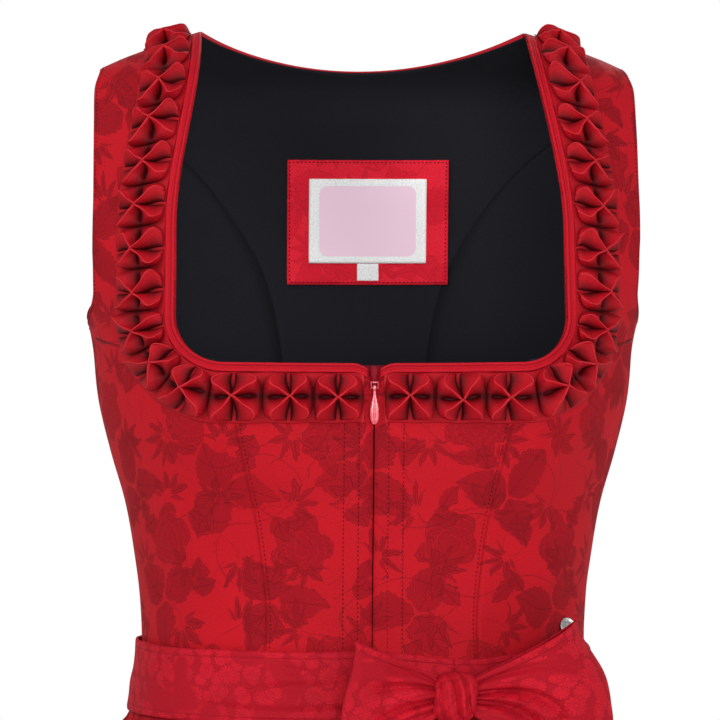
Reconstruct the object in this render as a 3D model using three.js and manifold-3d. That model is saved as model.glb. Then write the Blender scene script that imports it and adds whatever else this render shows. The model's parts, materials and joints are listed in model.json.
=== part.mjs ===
// A dirndl: sleeveless bodice with a pinched box-pleat ruche, gathered skirt and tied apron.
// Millimetres, +Z up. The front faces -Y and +X is the right-hand side seen from the front.
// The origin lies halfway between the shoulder straps, at the height where they rest on the wearer.

import * as THREE from 'three';
import { mergeVertices } from 'three/addons/utils/BufferGeometryUtils.js';
import Module from 'manifold-3d';

const wasm = await Module();
wasm.setup();

// Layers of cloth, as distances out from the body form
const seamGap = 0.3;
const clothThickness = 1.5;
const layer = {
  label: { inner: -3.7, outer: -2.7 },
  labelPatch: { inner: -2.4, outer: -1.2 },
  lining: { inner: -0.2, outer: 0.8 },
  bodice: { inner: 1.3, outer: 2.8 },
  binding: { inner: 3.3, outer: 4.5 },
  waistband: { inner: 3.9, outer: 5.3 },
  tie: { inner: 5.8, outer: 7.2 },
};

// Heights
const neckPointHeight = 2;
const backNeckHeight = -11;
const necklineHeight = -184;
const underarmHeight = -165;
const waistHeight = -350;
const bandTop = -340;
const bandBottom = -381;
const skirtHem = -1000;
const apronHem = -940;

// Neckline and armholes, half-widths seen from the front
const neckPointX = 97;
const necklineX = 104.5;
const necklineCorner = 26;
const armholeX = 154;

// The hollow body form: half-width at the sides, depth to the front and to the back
const form = [
  { z: 3, side: 95, front: 0, back: 0 },
  { z: -2, side: 108, front: 24, back: 36 },
  { z: -8, side: 124, front: 36, back: 53 },
  { z: -14, side: 139, front: 45, back: 64 },
  { z: -22, side: 153.5, front: 54, back: 72 },
  { z: -45, side: 163, front: 70, back: 81 },
  { z: -85, side: 168, front: 86, back: 90 },
  { z: -125, side: 166, front: 97, back: 95 },
  { z: -165, side: 154, front: 106, back: 94 },
  { z: -205, side: 148, front: 110, back: 90 },
  { z: -233, side: 141, front: 108, back: 86 },
  { z: -262, side: 134.5, front: 103, back: 83 },
  { z: -290, side: 129.5, front: 98, back: 81 },
  { z: -319, side: 126, front: 95, back: 80 },
  { z: -350, side: 125.5, front: 95, back: 82 },
  { z: -383, side: 131, front: 100, back: 92 },
  { z: -450, side: 153, front: 120, back: 120 },
  { z: -600, side: 196, front: 158, back: 161 },
  { z: -800, side: 243, front: 199, back: 202 },
  { z: -1000, side: 282, front: 235, back: 235 },
];
const squareness = 2.4;
const cup = { depth: 12, angle: 0.62, angleReach: 0.34, height: -206, heightReach: 40 };

// Front princess seam and back princess seam, half-widths by height
const frontSeam = [
  { x: 55, z: -350 },
  { x: 57, z: -322 },
  { x: 61, z: -290 },
  { x: 66, z: -262 },
  { x: 71, z: -238 },
  { x: 76, z: -212 },
  { x: 78.5, z: -184 },
];
const backSeam = [
  { x: 36, z: -350 },
  { x: 38, z: -290 },
  { x: 40, z: -235 },
  { x: 43, z: -182 },
  { x: 54, z: -132 },
  { x: 73, z: -99 },
  { x: 101, z: -66 },
  { x: 130, z: -47 },
  { x: 153.9, z: -38 },
];

// Folds of the skirt: half their depth by height, and how many there are on each half
const foldsPerHalf = 20;
const columnsPerFold = 4;
const foldDepth = [
  { z: -350, half: 0 },
  { z: -383, half: 0.1 },
  { z: -392, half: 2.4 },
  { z: -415, half: 5.5 },
  { z: -460, half: 8.5 },
  { z: -600, half: 10.5 },
  { z: -800, half: 11 },
  { z: -1000, half: 11.5 },
];
const skirtRings = [waistHeight - seamGap / 2, -380.8, -392, -430, -600, skirtHem];
const apronRings = [-381.4, -392, -430, -600, apronHem];
const apronGap = 0.8;
const apronFoldsLeftBare = 2;

// Ruche: a strip of box pleats, each pinched together at its middle
const ruche = {
  units: 13,
  middle: 18,
  seat: 3.4,
  start: 5.4,
};
const ruchePleat = [
  { along: 0, halfWidth: 10.5, middle: 8.5, between: 4.5, edge: 1.8 },
  { along: 0.36, halfWidth: 11.2, middle: 5.5, between: 7.6, edge: 3.2 },
  { along: 0.72, halfWidth: 12, middle: 2.8, between: 4.5, edge: 6.6 },
  { along: 1, halfWidth: 9.5, middle: 1.4, between: 1.4, edge: 1.4 },
];

// Zip
const zip = {
  slitTop: 1.1,
  slitBottom: 0.25,
  tapeWidth: 12,
  sliderHalfWidth: 2.2,
  sliderTop: -185,
  sliderBottom: -195,
  plateDepth: 1.8,
  earThickness: 0.7,
  barRadius: 0.55,
  eyeRadius: 0.9,
  knuckleRadius: 1.5,
  knuckleHalfWidth: 1.1,
  hingeHeight: -196.8,
  pullLength: 19.5,
  pullHalfWidth: 2.45,
  pullThickness: 1.4,
};

const button = { x: 108, z: -329, radius: 5.5, thickness: 1.8 };
const labels = {
  patch: { left: -44, right: 52, bottom: -137, top: -63 },
  label: { left: -31, right: 39, bottom: -124, top: -74 },
  size: { left: -2, right: 10.5, bottom: -134.5, top: -124.6 },
};

// Bow: the knot and two loops, with their lengths from the knot and widths at the far end
const knot = { x: 44, z: -364, halfWidth: 12.5, halfHeight: 14, halfDepth: 9.5 };
const loops = {
  left: { side: -1, length: 54, rise: 0, endWidth: 64, endLean: 5, bulge: 7, fallBack: -18 },
  right: { side: 1, length: 74, rise: 5, endWidth: 68, endLean: -11, bulge: 11, fallBack: 36 },
};
const tails = {
  left: { topX: 39, endX: 12, lift: 0 },
  right: { topX: 49, endX: 84, lift: 2.4 },
};
const tailShape = { top: -382.5, end: -690, topWidth: 20, endWidth: 56 };

const colours = {
  bodice: 0xb81628,
  apron: 0xa51a28,
  lining: 0x1d1e24,
  zipTape: 0x7c1420,
  metal: 0xb9b9bb,
  pull: 0xd8656a,
  label: 0xe9b9c6,
  sizeTag: 0xf2f0ee,
};

// Between the rows of a table: a smooth curve through one named column
function smoothColumn(table, column, z) {
  const rows = table.length;
  if (z >= table[0].z) return table[0][column];
  if (z <= table[rows - 1].z) return table[rows - 1][column];
  let i = 0;
  while (table[i + 1].z > z) i += 1;
  const slope = (a, b) => (table[b][column] - table[a][column]) / (table[b].z - table[a].z);
  const here = slope(i, i + 1);
  const before = i > 0 ? (slope(i - 1, i) + here) / 2 : here;
  const after = i + 2 < rows ? (here + slope(i + 1, i + 2)) / 2 : here;
  const step = table[i + 1].z - table[i].z;
  const t = (z - table[i].z) / step;
  const hermite = (2 * t ** 3 - 3 * t ** 2 + 1) * table[i][column]
    + (t ** 3 - 2 * t ** 2 + t) * step * before
    + (3 * t ** 2 - 2 * t ** 3) * table[i + 1][column]
    + (t ** 3 - t ** 2) * step * after;
  return hermite;
}

const lerp = THREE.MathUtils.lerp;
const squaredForm = form.map(({ z, side, front, back }) => ({ z, side, front: front ** 2, back: back ** 2 }));

function section(z) {
  return {
    side: smoothColumn(squaredForm, 'side', z),
    front: Math.sqrt(Math.max(0, smoothColumn(squaredForm, 'front', z))),
    back: Math.sqrt(Math.max(0, smoothColumn(squaredForm, 'back', z))),
  };
}

// A point of the form: angle 0 is the middle of the front, a quarter turn is the right side
function onForm(angle, z) {
  const { side, front, back } = section(z);
  const sin = Math.sin(angle);
  const cos = Math.cos(angle);
  const x = side * Math.sign(sin) * Math.abs(sin) ** (2 / squareness);
  const turned = Math.abs(Math.atan2(sin, cos));
  const cupHere = cup.depth
    * Math.exp(-(((turned - cup.angle) / cup.angleReach) ** 2))
    * Math.exp(-(((z - cup.height) / cup.heightReach) ** 2));
  const y = -(cos > 0 ? front : back) * cos - cupHere;
  return new THREE.Vector3(x, y, z);
}

// The same point moved straight out from the form
function outFromForm(angle, z, distance) {
  const turn = 1e-3;
  const lift = 0.05;
  const along = onForm(angle + turn, z).sub(onForm(angle - turn, z));
  const up = onForm(angle, z + lift).sub(onForm(angle, z - lift));
  const normal = along.cross(up).normalize();
  return onForm(angle, z).addScaledVector(normal, distance);
}

function frontAngle(x, z) {
  const share = Math.min(1, Math.abs(x) / section(z).side);
  return Math.sign(x) * Math.asin(share ** (squareness / 2));
}

function backAngle(x, z) {
  return Math.PI - frontAngle(x, z);
}

// Height of the shoulder line over a half-width x
function shoulderHeight(x) {
  let high = form[0].z;
  let low = -30;
  for (let i = 0; i < 40; i += 1) {
    const middle = (high + low) / 2;
    if (section(middle).side < x) high = middle;
    else low = middle;
  }
  return (high + low) / 2;
}

// Outline of an armhole from the underarm, share 0, to the end of the shoulder, share 1
const shoulderEnd = shoulderHeight(armholeX);
function armholeHeight(share) {
  const middle = (underarmHeight + shoulderEnd) / 2;
  return middle - ((shoulderEnd - underarmHeight) / 2) * Math.cos(Math.PI * share);
}

function shoulderAngle(z, direction) {
  const { front, back } = section(z);
  const depth = direction < 0 ? front : back;
  return Math.PI / 2 + (direction * seamGap) / 2 / Math.max(depth, 1);
}

// Neckline of one front: stretch 0 to 1 is its bottom, 1 to 2 the corner and 2 to 3 the strap
function necklineStretch(place, distance, startX) {
  const cornerX = necklineX - necklineCorner;
  const cornerZ = necklineHeight + necklineCorner;
  if (place < 1) return { x: lerp(startX, cornerX, place), z: necklineHeight - distance };
  if (place < 2) {
    const turn = (place - 1) * (Math.PI / 2);
    const radius = necklineCorner + distance;
    return { x: cornerX + radius * Math.sin(turn), z: cornerZ - radius * Math.cos(turn) };
  }
  const top = shoulderHeight(neckPointX + distance);
  const z = lerp(cornerZ, top, 1 - (3 - place) ** 2);
  return { x: strapEdge(z) + distance, z };
}

// The same, walked by its length along the middle of the ruche
const necklineLengths = [0];
const necklineSteps = 300;
for (let i = 1; i <= necklineSteps; i += 1) {
  const [before, here] = [i - 1, i].map((step) => {
    const { x, z } = necklineStretch((3 * step) / necklineSteps, ruche.middle, ruche.start);
    return onForm(frontAngle(x, z), z);
  });
  necklineLengths.push(necklineLengths[i - 1] + here.distanceTo(before));
}
function necklinePoint(share, distance, startX) {
  const target = share * necklineLengths[necklineSteps];
  let i = 0;
  while (i < necklineSteps - 1 && necklineLengths[i + 1] < target) i += 1;
  const part = (target - necklineLengths[i]) / (necklineLengths[i + 1] - necklineLengths[i]);
  return necklineStretch((3 * (i + Math.min(1, part))) / necklineSteps, distance, startX);
}

// Half-width of the neck edge of a front strap
function strapEdge(z) {
  const share = THREE.MathUtils.smoothstep(z, -110, neckPointHeight);
  return lerp(necklineX, neckPointX, share);
}

// Closed solid from points and triangles, always facing out
function closedGeometry(points, faces) {
  const geometry = new THREE.BufferGeometry();
  geometry.setAttribute('position', new THREE.Float32BufferAttribute(points.flatMap((p) => p.toArray()), 3));
  let volume = 0;
  for (let i = 0; i < faces.length; i += 3) {
    const [a, b, c] = [points[faces[i]], points[faces[i + 1]], points[faces[i + 2]]];
    volume += a.dot(b.clone().cross(c));
  }
  const turned = volume < 0 ? faces.map((_, i) => faces[i - (i % 3) + [0, 2, 1][i % 3]]) : faces;
  geometry.setIndex(turned);
  geometry.computeVertexNormals();
  return geometry;
}

// A wall of cloth: point(u, v, side) gives its inner side 0 and outer side 1
function clothWall(columns, rows, point, ring = false) {
  const across = ring ? columns : columns + 1;
  const index = (side, i, j) => (side * (rows + 1) + j) * across + (i % across);
  const points = [];
  for (const side of [0, 1]) {
    for (let j = 0; j <= rows; j += 1) {
      for (let i = 0; i < across; i += 1) points.push(point(i / columns, j / rows, side));
    }
  }
  const faces = [];
  const quad = (a, b, c, d) => faces.push(a, b, c, a, c, d);
  for (let i = 0; i < columns; i += 1) {
    for (let j = 0; j < rows; j += 1) {
      quad(index(1, i, j), index(1, i + 1, j), index(1, i + 1, j + 1), index(1, i, j + 1));
      quad(index(0, i, j), index(0, i, j + 1), index(0, i + 1, j + 1), index(0, i + 1, j));
    }
    quad(index(0, i, 0), index(0, i + 1, 0), index(1, i + 1, 0), index(1, i, 0));
    quad(index(0, i, rows), index(1, i, rows), index(1, i + 1, rows), index(0, i + 1, rows));
  }
  for (let j = 0; j < rows && !ring; j += 1) {
    quad(index(0, 0, j), index(1, 0, j), index(1, 0, j + 1), index(0, 0, j + 1));
    quad(index(0, columns, j), index(0, columns, j + 1), index(1, columns, j + 1), index(1, columns, j));
  }
  return closedGeometry(points, faces);
}

// A panel between two edges, each a function of the height share that gives an angle and a height
function panelGeometry({ columns, rows, from, to, cloth, mirror = false }) {
  return clothWall(columns, rows, (u, v, side) => {
    const a = from(v);
    const b = to(v);
    const width = onForm(a.angle, a.z).distanceTo(onForm(b.angle, b.z));
    const inset = Math.min(0.3, seamGap / 2 / Math.max(width, 0.1));
    const share = lerp(inset, 1 - inset, u);
    const point = outFromForm(lerp(a.angle, b.angle, share), lerp(a.z, b.z, share), side ? cloth.outer : cloth.inner);
    if (mirror) point.x *= -1;
    return point;
  });
}

const dirndl = new THREE.Group();

function addPiece(name, geometry, colour, roughness = 0.75, metalness = 0) {
  const material = new THREE.MeshStandardMaterial({ color: colour, roughness, metalness });
  const mesh = new THREE.Mesh(geometry, material);
  mesh.name = name;
  dirndl.add(mesh);
}

const bothSides = [
  { name: 'left', mirror: true },
  { name: 'right', mirror: false },
];

// Curves of the princess seams, walked by their length
const seamCurve = (table) => new THREE.CatmullRomCurve3(
  table.map(({ x, z }) => new THREE.Vector3(x, 0, z)),
  false,
  'centripetal',
);
const frontSeamCurve = seamCurve(frontSeam);
const backSeamCurve = seamCurve(backSeam);
const bodyRows = 6;
const cornerRows = 4;
const strapRows = 7;
const waistEdge = waistHeight + seamGap / 2;

function frontSeamPoint(share) {
  const { x, z } = frontSeamCurve.getPointAt(share);
  const height = Math.max(z, waistEdge);
  return { angle: frontAngle(x, height), z: height };
}

function slitPoint(share) {
  const z = lerp(waistEdge, necklineHeight, share);
  const x = lerp(zip.slitBottom, zip.slitTop, share);
  return { angle: frontAngle(x, z), z };
}

function frontNeckEdge(row) {
  if (row <= bodyRows) return frontSeamPoint(row / bodyRows);
  const cornerX = necklineX - necklineCorner;
  const cornerZ = necklineHeight + necklineCorner;
  if (row <= bodyRows + cornerRows) {
    const turn = ((row - bodyRows) / cornerRows) * (Math.PI / 2);
    const x = cornerX + necklineCorner * Math.sin(turn);
    const z = cornerZ - necklineCorner * Math.cos(turn);
    return { angle: frontAngle(x, z), z };
  }
  const up = (row - bodyRows - cornerRows) / strapRows;
  const z = lerp(cornerZ, neckPointHeight, 1 - (1 - up) ** 2);
  return { angle: up === 1 ? shoulderAngle(z, -1) : frontAngle(strapEdge(z), z), z };
}

function frontArmholeEdge(row) {
  if (row <= bodyRows) return { angle: Math.PI / 2, z: lerp(waistEdge, underarmHeight, row / bodyRows) };
  const share = (row - bodyRows) / (cornerRows + strapRows);
  const z = armholeHeight(share);
  return { angle: share === 1 ? shoulderAngle(z, -1) : frontAngle(armholeX, z), z };
}

function addFronts() {
  const sideRows = bodyRows + cornerRows + strapRows;
  for (const { name, mirror } of bothSides) {
    const centre = { columns: 5, rows: bodyRows, from: slitPoint, to: frontSeamPoint };
    addPiece(`front_centre_${name}`, panelGeometry({ ...centre, cloth: layer.bodice, mirror }), colours.bodice);
    const side = {
      columns: 7,
      rows: sideRows,
      from: (v) => frontNeckEdge(Math.round(v * sideRows)),
      to: (v) => frontArmholeEdge(Math.round(v * sideRows)),
    };
    addPiece(`front_side_${name}`, panelGeometry({ ...side, cloth: layer.bodice, mirror }), colours.bodice);
  }
}

// Back panels share their rows at the princess seam
const backRows = 10;
const backSideRows = 6;
const backStrapRows = 4;
const seamArmholeShare = 0.765;
const seamTip = 0.985;

function backSeamPoint(row) {
  const { x, z } = backSeamCurve.getPointAt(Math.min(row / backRows, seamTip));
  const height = Math.max(z, waistEdge);
  return { angle: backAngle(x, height), z: height, x };
}

function backSideEdge(row) {
  if (row <= backSideRows) return { angle: Math.PI / 2, z: lerp(waistEdge, underarmHeight, row / backSideRows) };
  const z = armholeHeight(((row - backSideRows) / (backRows - backSideRows)) * (seamArmholeShare - 0.015));
  return { angle: backAngle(armholeX, z), z };
}

// One point of the centre back panel: across runs from the middle, 0, to its edge, 1
function backCentrePoint(across, row) {
  const neckColumn = 4 / 7;
  const above = (row - backRows) / backStrapRows;
  const armhole = { x: armholeX, z: armholeHeight(lerp(seamArmholeShare, 1, above)) };
  const edge = above <= 0 ? backSeamPoint(row) : armhole;
  const seamTop = backSeamPoint(backRows);
  const middleRise = -48;
  const middleZ = above <= 0
    ? lerp(waistEdge, middleRise, (row / backRows) ** 0.85)
    : lerp(middleRise, backNeckHeight, above);
  const neckShare = 0.62;
  const lowNeckZ = lerp(middleRise, seamTop.z, neckShare);
  const neckX = above <= 0 ? neckShare * edge.x : lerp(neckShare * armholeX, neckPointX, above);
  const neckZ = above <= 0
    ? lerp(middleZ, edge.z, neckShare)
    : lerp(lowNeckZ, neckPointHeight, 1 - (1 - above) ** 2);
  if (across <= neckColumn) {
    const x = neckX * Math.sin((across / neckColumn) * (Math.PI / 2));
    const z = lerp(middleZ, neckZ, (x / neckX) ** 2);
    const atShoulder = above === 1 && across === neckColumn;
    return { angle: atShoulder ? shoulderAngle(z, 1) : backAngle(x, z), z };
  }
  const share = (across - neckColumn) / (1 - neckColumn);
  const z = lerp(neckZ, edge.z, share);
  const angleFrom = above === 1 ? shoulderAngle(neckZ, 1) : backAngle(neckX, neckZ);
  const angleTo = above === 1 ? shoulderAngle(edge.z, 1) : backAngle(edge.x, edge.z);
  const widthToEdge = onForm(angleFrom, neckZ).distanceTo(onForm(angleTo, edge.z));
  const inset = above <= 0 ? (share * seamGap) / 2 / widthToEdge : 0;
  const angle = lerp(angleFrom, angleTo, share * (1 - inset));
  return { angle, z };
}

function backCentreGeometry(cloth) {
  const rows = backRows + backStrapRows;
  const columns = 14;
  return clothWall(columns, rows, (u, v, side) => {
    const place = Math.round((2 * u - 1) * 7) / 7;
    const { angle, z } = backCentrePoint(Math.abs(place), Math.round(v * rows));
    const point = outFromForm(angle, z, side ? cloth.outer : cloth.inner);
    if (place < 0) point.x *= -1;
    return point;
  });
}

function backSideGeometry(cloth, mirror) {
  return panelGeometry({
    columns: 4,
    rows: backRows,
    from: (v) => backSeamPoint(Math.round(v * backRows)),
    to: (v) => backSideEdge(Math.round(v * backRows)),
    cloth,
    mirror,
  });
}

function addBacks() {
  addPiece('back_centre', backCentreGeometry(layer.bodice), colours.bodice);
  addPiece('lining_back_centre', backCentreGeometry(layer.lining), colours.lining);
  for (const { name, mirror } of bothSides) {
    addPiece(`back_side_${name}`, backSideGeometry(layer.bodice, mirror), colours.bodice);
    addPiece(`lining_back_side_${name}`, backSideGeometry(layer.lining, mirror), colours.lining);
  }
}

// Narrow strip along the neckline of one front, from the slit to the shoulder
function necklineStrip(steps, across, pointAt, mirror) {
  return clothWall(steps, across, (u, v, side) => {
    const point = pointAt(u, v, side);
    if (mirror) point.x *= -1;
    return point;
  });
}

function necklineOut(share, distance, height, startX) {
  const { x, z } = necklinePoint(share, distance, startX);
  const angle = share >= 1 ? shoulderAngle(z, -1) : frontAngle(x, z);
  return outFromForm(angle, z, height);
}

function addBindings() {
  const width = 5.4;
  const steps = 34;
  const startX = zip.sliderHalfWidth + 0.4;
  for (const { name, mirror } of bothSides) {
    const strip = necklineStrip(steps, 1, (u, v, side) => (
      necklineOut(u, width * (1 - v) + 0.1, side ? layer.binding.outer : layer.binding.inner, startX)
    ), mirror);
    addPiece(`binding_front_${name}`, strip, colours.bodice);
  }
  // The back binding caps the edge of the cloth and its lining
  const height = 2;
  const halfColumnsAcross = 4;
  const edgePoint = (place, distance) => {
    const x = neckPointX * Math.sin(Math.min(1, Math.abs(place)) * (Math.PI / 2));
    const z = lerp(backNeckHeight, neckPointHeight, (x / neckPointX) ** 2);
    const angle = Math.abs(place) >= 1 ? shoulderAngle(z, 1) : backAngle(x, z);
    const point = outFromForm(angle, z, distance);
    if (place < 0) point.x *= -1;
    return point;
  };
  const backBinding = clothWall(2 * halfColumnsAcross, 1, (u, v, side) => {
    const place = Math.round((2 * u - 1) * halfColumnsAcross) / halfColumnsAcross;
    const beside = 0.04;
    const along = edgePoint(Math.min(1, place + beside), 0).sub(edgePoint(Math.max(-1, place - beside), 0));
    const thick = edgePoint(place, layer.bodice.outer).sub(edgePoint(place, 0));
    const beyond = along.cross(thick).normalize();
    return edgePoint(place, side ? layer.bodice.outer : layer.lining.inner)
      .addScaledVector(beyond, seamGap + 0.2 + v * height);
  });
  addPiece('binding_back', backBinding, colours.bodice);
}

// Ruche: a height field over a seat that follows the front
function rucheHeight(pleat, across) {
  const share = Math.abs(across);
  if (share < 0.25) return pleat.middle;
  return share < 0.75 ? pleat.between : pleat.edge;
}

function addRuches() {
  const stations = [];
  for (let unit = 0; unit < ruche.units; unit += 1) {
    for (const [sign, rows] of [[-1, [3, 2, 1, 0]], [1, [1, 2, 3]]]) {
      for (const row of rows) {
        const pleat = ruchePleat[row];
        const share = (unit + 0.5 + (sign * pleat.along) / 2) / ruche.units;
        if (unit === 0 || !(sign < 0 && row === 3)) stations.push({ share, pleat });
      }
    }
  }
  const across = [-1, -0.5, 0, 0.5, 1];
  for (const { name, mirror } of bothSides) {
    const geometry = clothWall(stations.length - 1, across.length - 1, (u, v, side) => {
      const { share, pleat } = stations[Math.round(u * (stations.length - 1))];
      const place = across[Math.round(v * (across.length - 1))];
      const distance = ruche.middle - place * pleat.halfWidth;
      const height = ruche.seat + (side ? rucheHeight(pleat, place) : 0);
      const point = necklineOut(share, distance, height, ruche.start);
      if (mirror) point.x *= -1;
      return point;
    });
    addPiece(`ruche_${name}`, geometry, colours.bodice);
  }
}

function manifoldOf(geometry) {
  const bare = geometry.clone();
  bare.deleteAttribute('normal');
  if (bare.getAttribute('uv')) bare.deleteAttribute('uv');
  const merged = mergeVertices(bare, 1e-4);
  return new wasm.Manifold(new wasm.Mesh({
    numProp: 3,
    vertProperties: new Float32Array(merged.getAttribute('position').array),
    triVerts: new Uint32Array(merged.index.array),
  }));
}

function geometryOf(manifold) {
  const mesh = manifold.getMesh();
  const geometry = new THREE.BufferGeometry();
  geometry.setAttribute('position', new THREE.Float32BufferAttribute(mesh.vertProperties, 3));
  geometry.setIndex(Array.from(mesh.triVerts));
  geometry.computeVertexNormals();
  return geometry;
}

// Box between two corners
function boxBetween(low, high) {
  const size = high.map((value, i) => value - low[i]);
  const box = new THREE.BoxGeometry(...size);
  box.translate(...low.map((value, i) => value + size[i] / 2));
  return box;
}

// Rod along X round the hinge of the zip pull
function rodAlongX(radius, halfLength, y, z, sides = 14) {
  const rod = new THREE.CylinderGeometry(radius, radius, 2 * halfLength, sides);
  rod.rotateZ(Math.PI / 2);
  rod.translate(0, y, z);
  return rod;
}

function addZip() {
  for (const { name, mirror } of bothSides) {
    const tape = panelGeometry({
      columns: 1,
      rows: bodyRows,
      from: (v) => {
        const z = lerp(waistEdge, necklineHeight - 1, v);
        return { angle: frontAngle(0.2, z), z };
      },
      to: (v) => {
        const z = lerp(waistEdge, necklineHeight - 1, v);
        return { angle: frontAngle(zip.tapeWidth, z), z };
      },
      cloth: { inner: -0.4, outer: 0.6 },
      mirror,
    });
    addPiece(`zip_tape_${name}`, tape, colours.zipTape);
  }
  const face = onForm(0, zip.hingeHeight).y - layer.bodice.outer;
  const plateBack = face - 0.4;
  const plateFront = plateBack - zip.plateDepth;
  const hingeY = plateFront - zip.knuckleRadius - 0.4;
  const half = zip.sliderHalfWidth;
  const earReach = 1.0;
  let slider = manifoldOf(boxBetween([-half, plateFront, zip.sliderBottom], [half, plateBack, zip.sliderTop]));
  for (const sign of [-1, 1]) {
    const inside = half - zip.earThickness;
    const [low, high] = sign < 0 ? [-half, -inside] : [inside, half];
    const ear = boxBetween(
      [low, hingeY - earReach, zip.hingeHeight - earReach],
      [high, plateBack, zip.sliderBottom + 1],
    );
    slider = slider.add(manifoldOf(ear));
  }
  slider = slider.add(manifoldOf(rodAlongX(zip.barRadius, half - 0.1, hingeY, zip.hingeHeight)));
  addPiece('zip_slider', geometryOf(slider), colours.pull, 0.35, 0.6);

  const drop = new THREE.Shape();
  const neckHalf = 0.8;
  const widest = -0.68 * zip.pullLength;
  drop.moveTo(-neckHalf, 0);
  drop.quadraticCurveTo(-neckHalf, 0.35 * widest, -zip.pullHalfWidth, widest);
  drop.absarc(0, widest, zip.pullHalfWidth, Math.PI, 2 * Math.PI, false);
  drop.quadraticCurveTo(neckHalf, 0.35 * widest, neckHalf, 0);
  const plate = new THREE.ExtrudeGeometry(drop, {
    depth: zip.pullThickness,
    bevelEnabled: false,
    curveSegments: 8,
  });
  plate.rotateX(Math.PI / 2);
  plate.translate(0, hingeY + zip.pullThickness / 2, zip.hingeHeight - zip.eyeRadius - 0.2);
  const knuckle = manifoldOf(rodAlongX(zip.knuckleRadius, zip.knuckleHalfWidth, hingeY, zip.hingeHeight, 18));
  const eye = manifoldOf(rodAlongX(zip.eyeRadius, zip.knuckleHalfWidth + 1, hingeY, zip.hingeHeight, 18));
  const pull = manifoldOf(plate).add(knuckle).subtract(eye);
  addPiece('zip_pull', geometryOf(pull), colours.pull, 0.3, 0.6);
}

// Flat pieces in the back neck, sewn on the lining and seen through the neckline
function backPatch(place, cloth, columns, rows) {
  return clothWall(columns, rows, (u, v, side) => {
    const x = lerp(place.left, place.right, u);
    const z = lerp(place.bottom, place.top, v);
    return outFromForm(backAngle(x, z), z, side ? cloth.outer : cloth.inner);
  });
}

function addLabels() {
  addPiece('label_patch', backPatch(labels.patch, layer.labelPatch, 6, 4), colours.bodice);
  addPiece('label', backPatch(labels.label, layer.label, 5, 3), colours.label);
  addPiece('size_tag', backPatch(labels.size, layer.label, 1, 1), colours.sizeTag);
}

function addButton() {
  const disc = new THREE.CylinderGeometry(button.radius - 0.6, button.radius, button.thickness, 20);
  const angle = frontAngle(button.x, button.z);
  const seat = outFromForm(angle, button.z, layer.bodice.outer + 0.5 + button.thickness / 2);
  const outward = outFromForm(angle, button.z, 10).sub(onForm(angle, button.z)).normalize();
  disc.applyQuaternion(new THREE.Quaternion().setFromUnitVectors(new THREE.Vector3(0, 1, 0), outward));
  disc.translate(seat.x, seat.y, seat.z);
  addPiece('waist_button', disc, colours.metal, 0.35, 0.9);
}

// Angles round the form with equal steps of cloth between them, for one half of the skirt
const halfColumns = foldsPerHalf * columnsPerFold;
function evenAngles(startAngle) {
  const samples = 720;
  const ring = -700;
  const lengths = [0];
  for (let i = 1; i <= samples; i += 1) {
    const before = onForm(startAngle + (Math.PI * (i - 1)) / samples, ring);
    lengths.push(lengths[i - 1] + onForm(startAngle + (Math.PI * i) / samples, ring).distanceTo(before));
  }
  const angles = [];
  let i = 0;
  for (let column = 0; column <= halfColumns; column += 1) {
    const target = (lengths[samples] * column) / halfColumns;
    while (i < samples - 1 && lengths[i + 1] < target) i += 1;
    const share = (target - lengths[i]) / (lengths[i + 1] - lengths[i]);
    angles.push(startAngle + (Math.PI * (i + share)) / samples);
  }
  return angles;
}

function foldAt(z) {
  return smoothColumn(foldDepth, 'half', z);
}

// Cloth on a steep fold is thicker when measured straight out
function foldedThickness(z) {
  const { side, front, back } = section(z);
  const girth = Math.PI * (side + (front + back) / 2);
  const halfPitch = girth / (4 * foldsPerHalf);
  return clothThickness * Math.hypot(1, (2 * foldAt(z)) / halfPitch);
}

function foldedDistance(column, z) {
  const wave = 1 + Math.cos((2 * Math.PI * column) / columnsPerFold);
  return layer.bodice.inner + foldAt(z) * wave;
}

function addSkirt() {
  for (const [name, startAngle] of [['skirt_front', -Math.PI / 2], ['skirt_back', Math.PI / 2]]) {
    const angles = evenAngles(startAngle);
    const rows = skirtRings.length - 1;
    const geometry = clothWall(halfColumns, rows, (u, v, side) => {
      const column = Math.round(u * halfColumns);
      const z = skirtRings[Math.round(v * rows)];
      let sideways = 0;
      if (column === 0) sideways = 1;
      if (column === halfColumns) sideways = -1;
      const angle = angles[column] + (sideways * seamGap) / 2 / section(z).front;
      const distance = foldedDistance(column, z) + (side ? foldedThickness(z) : 0);
      return outFromForm(angle, z, distance);
    });
    addPiece(name, geometry, colours.bodice);
  }
}

function apronDistance(column, z) {
  return foldedDistance(column, z) + foldedThickness(z) * (1 + apronGap / clothThickness);
}

function addApron() {
  const angles = evenAngles(-Math.PI / 2);
  const first = apronFoldsLeftBare * columnsPerFold;
  const columns = halfColumns - 2 * first;
  const rows = apronRings.length - 1;
  const apron = clothWall(columns, rows, (u, v, side) => {
    const column = first + Math.round(u * columns);
    const z = apronRings[Math.round(v * rows)];
    return outFromForm(angles[column], z, apronDistance(column, z) + (side ? foldedThickness(z) : 0));
  });
  addPiece('apron_skirt', apron, colours.apron);
  const bandEnd = 1.36;
  const band = bandGeometry(() => -bandEnd, () => bandEnd, 26, () => layer.waistband);
  addPiece('apron_waistband', band, colours.apron);
}

// A band round the waist between two ends, each an angle by the share of the band's height
function bandGeometry(fromAngle, toAngle, columns, clothAt) {
  return clothWall(columns, 2, (u, v, side) => {
    const angle = lerp(fromAngle(v), toAngle(v), u);
    const z = lerp(bandBottom, bandTop, v);
    const cloth = clothAt(angle);
    return outFromForm(angle, z, side ? cloth.outer : cloth.inner);
  });
}

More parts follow.
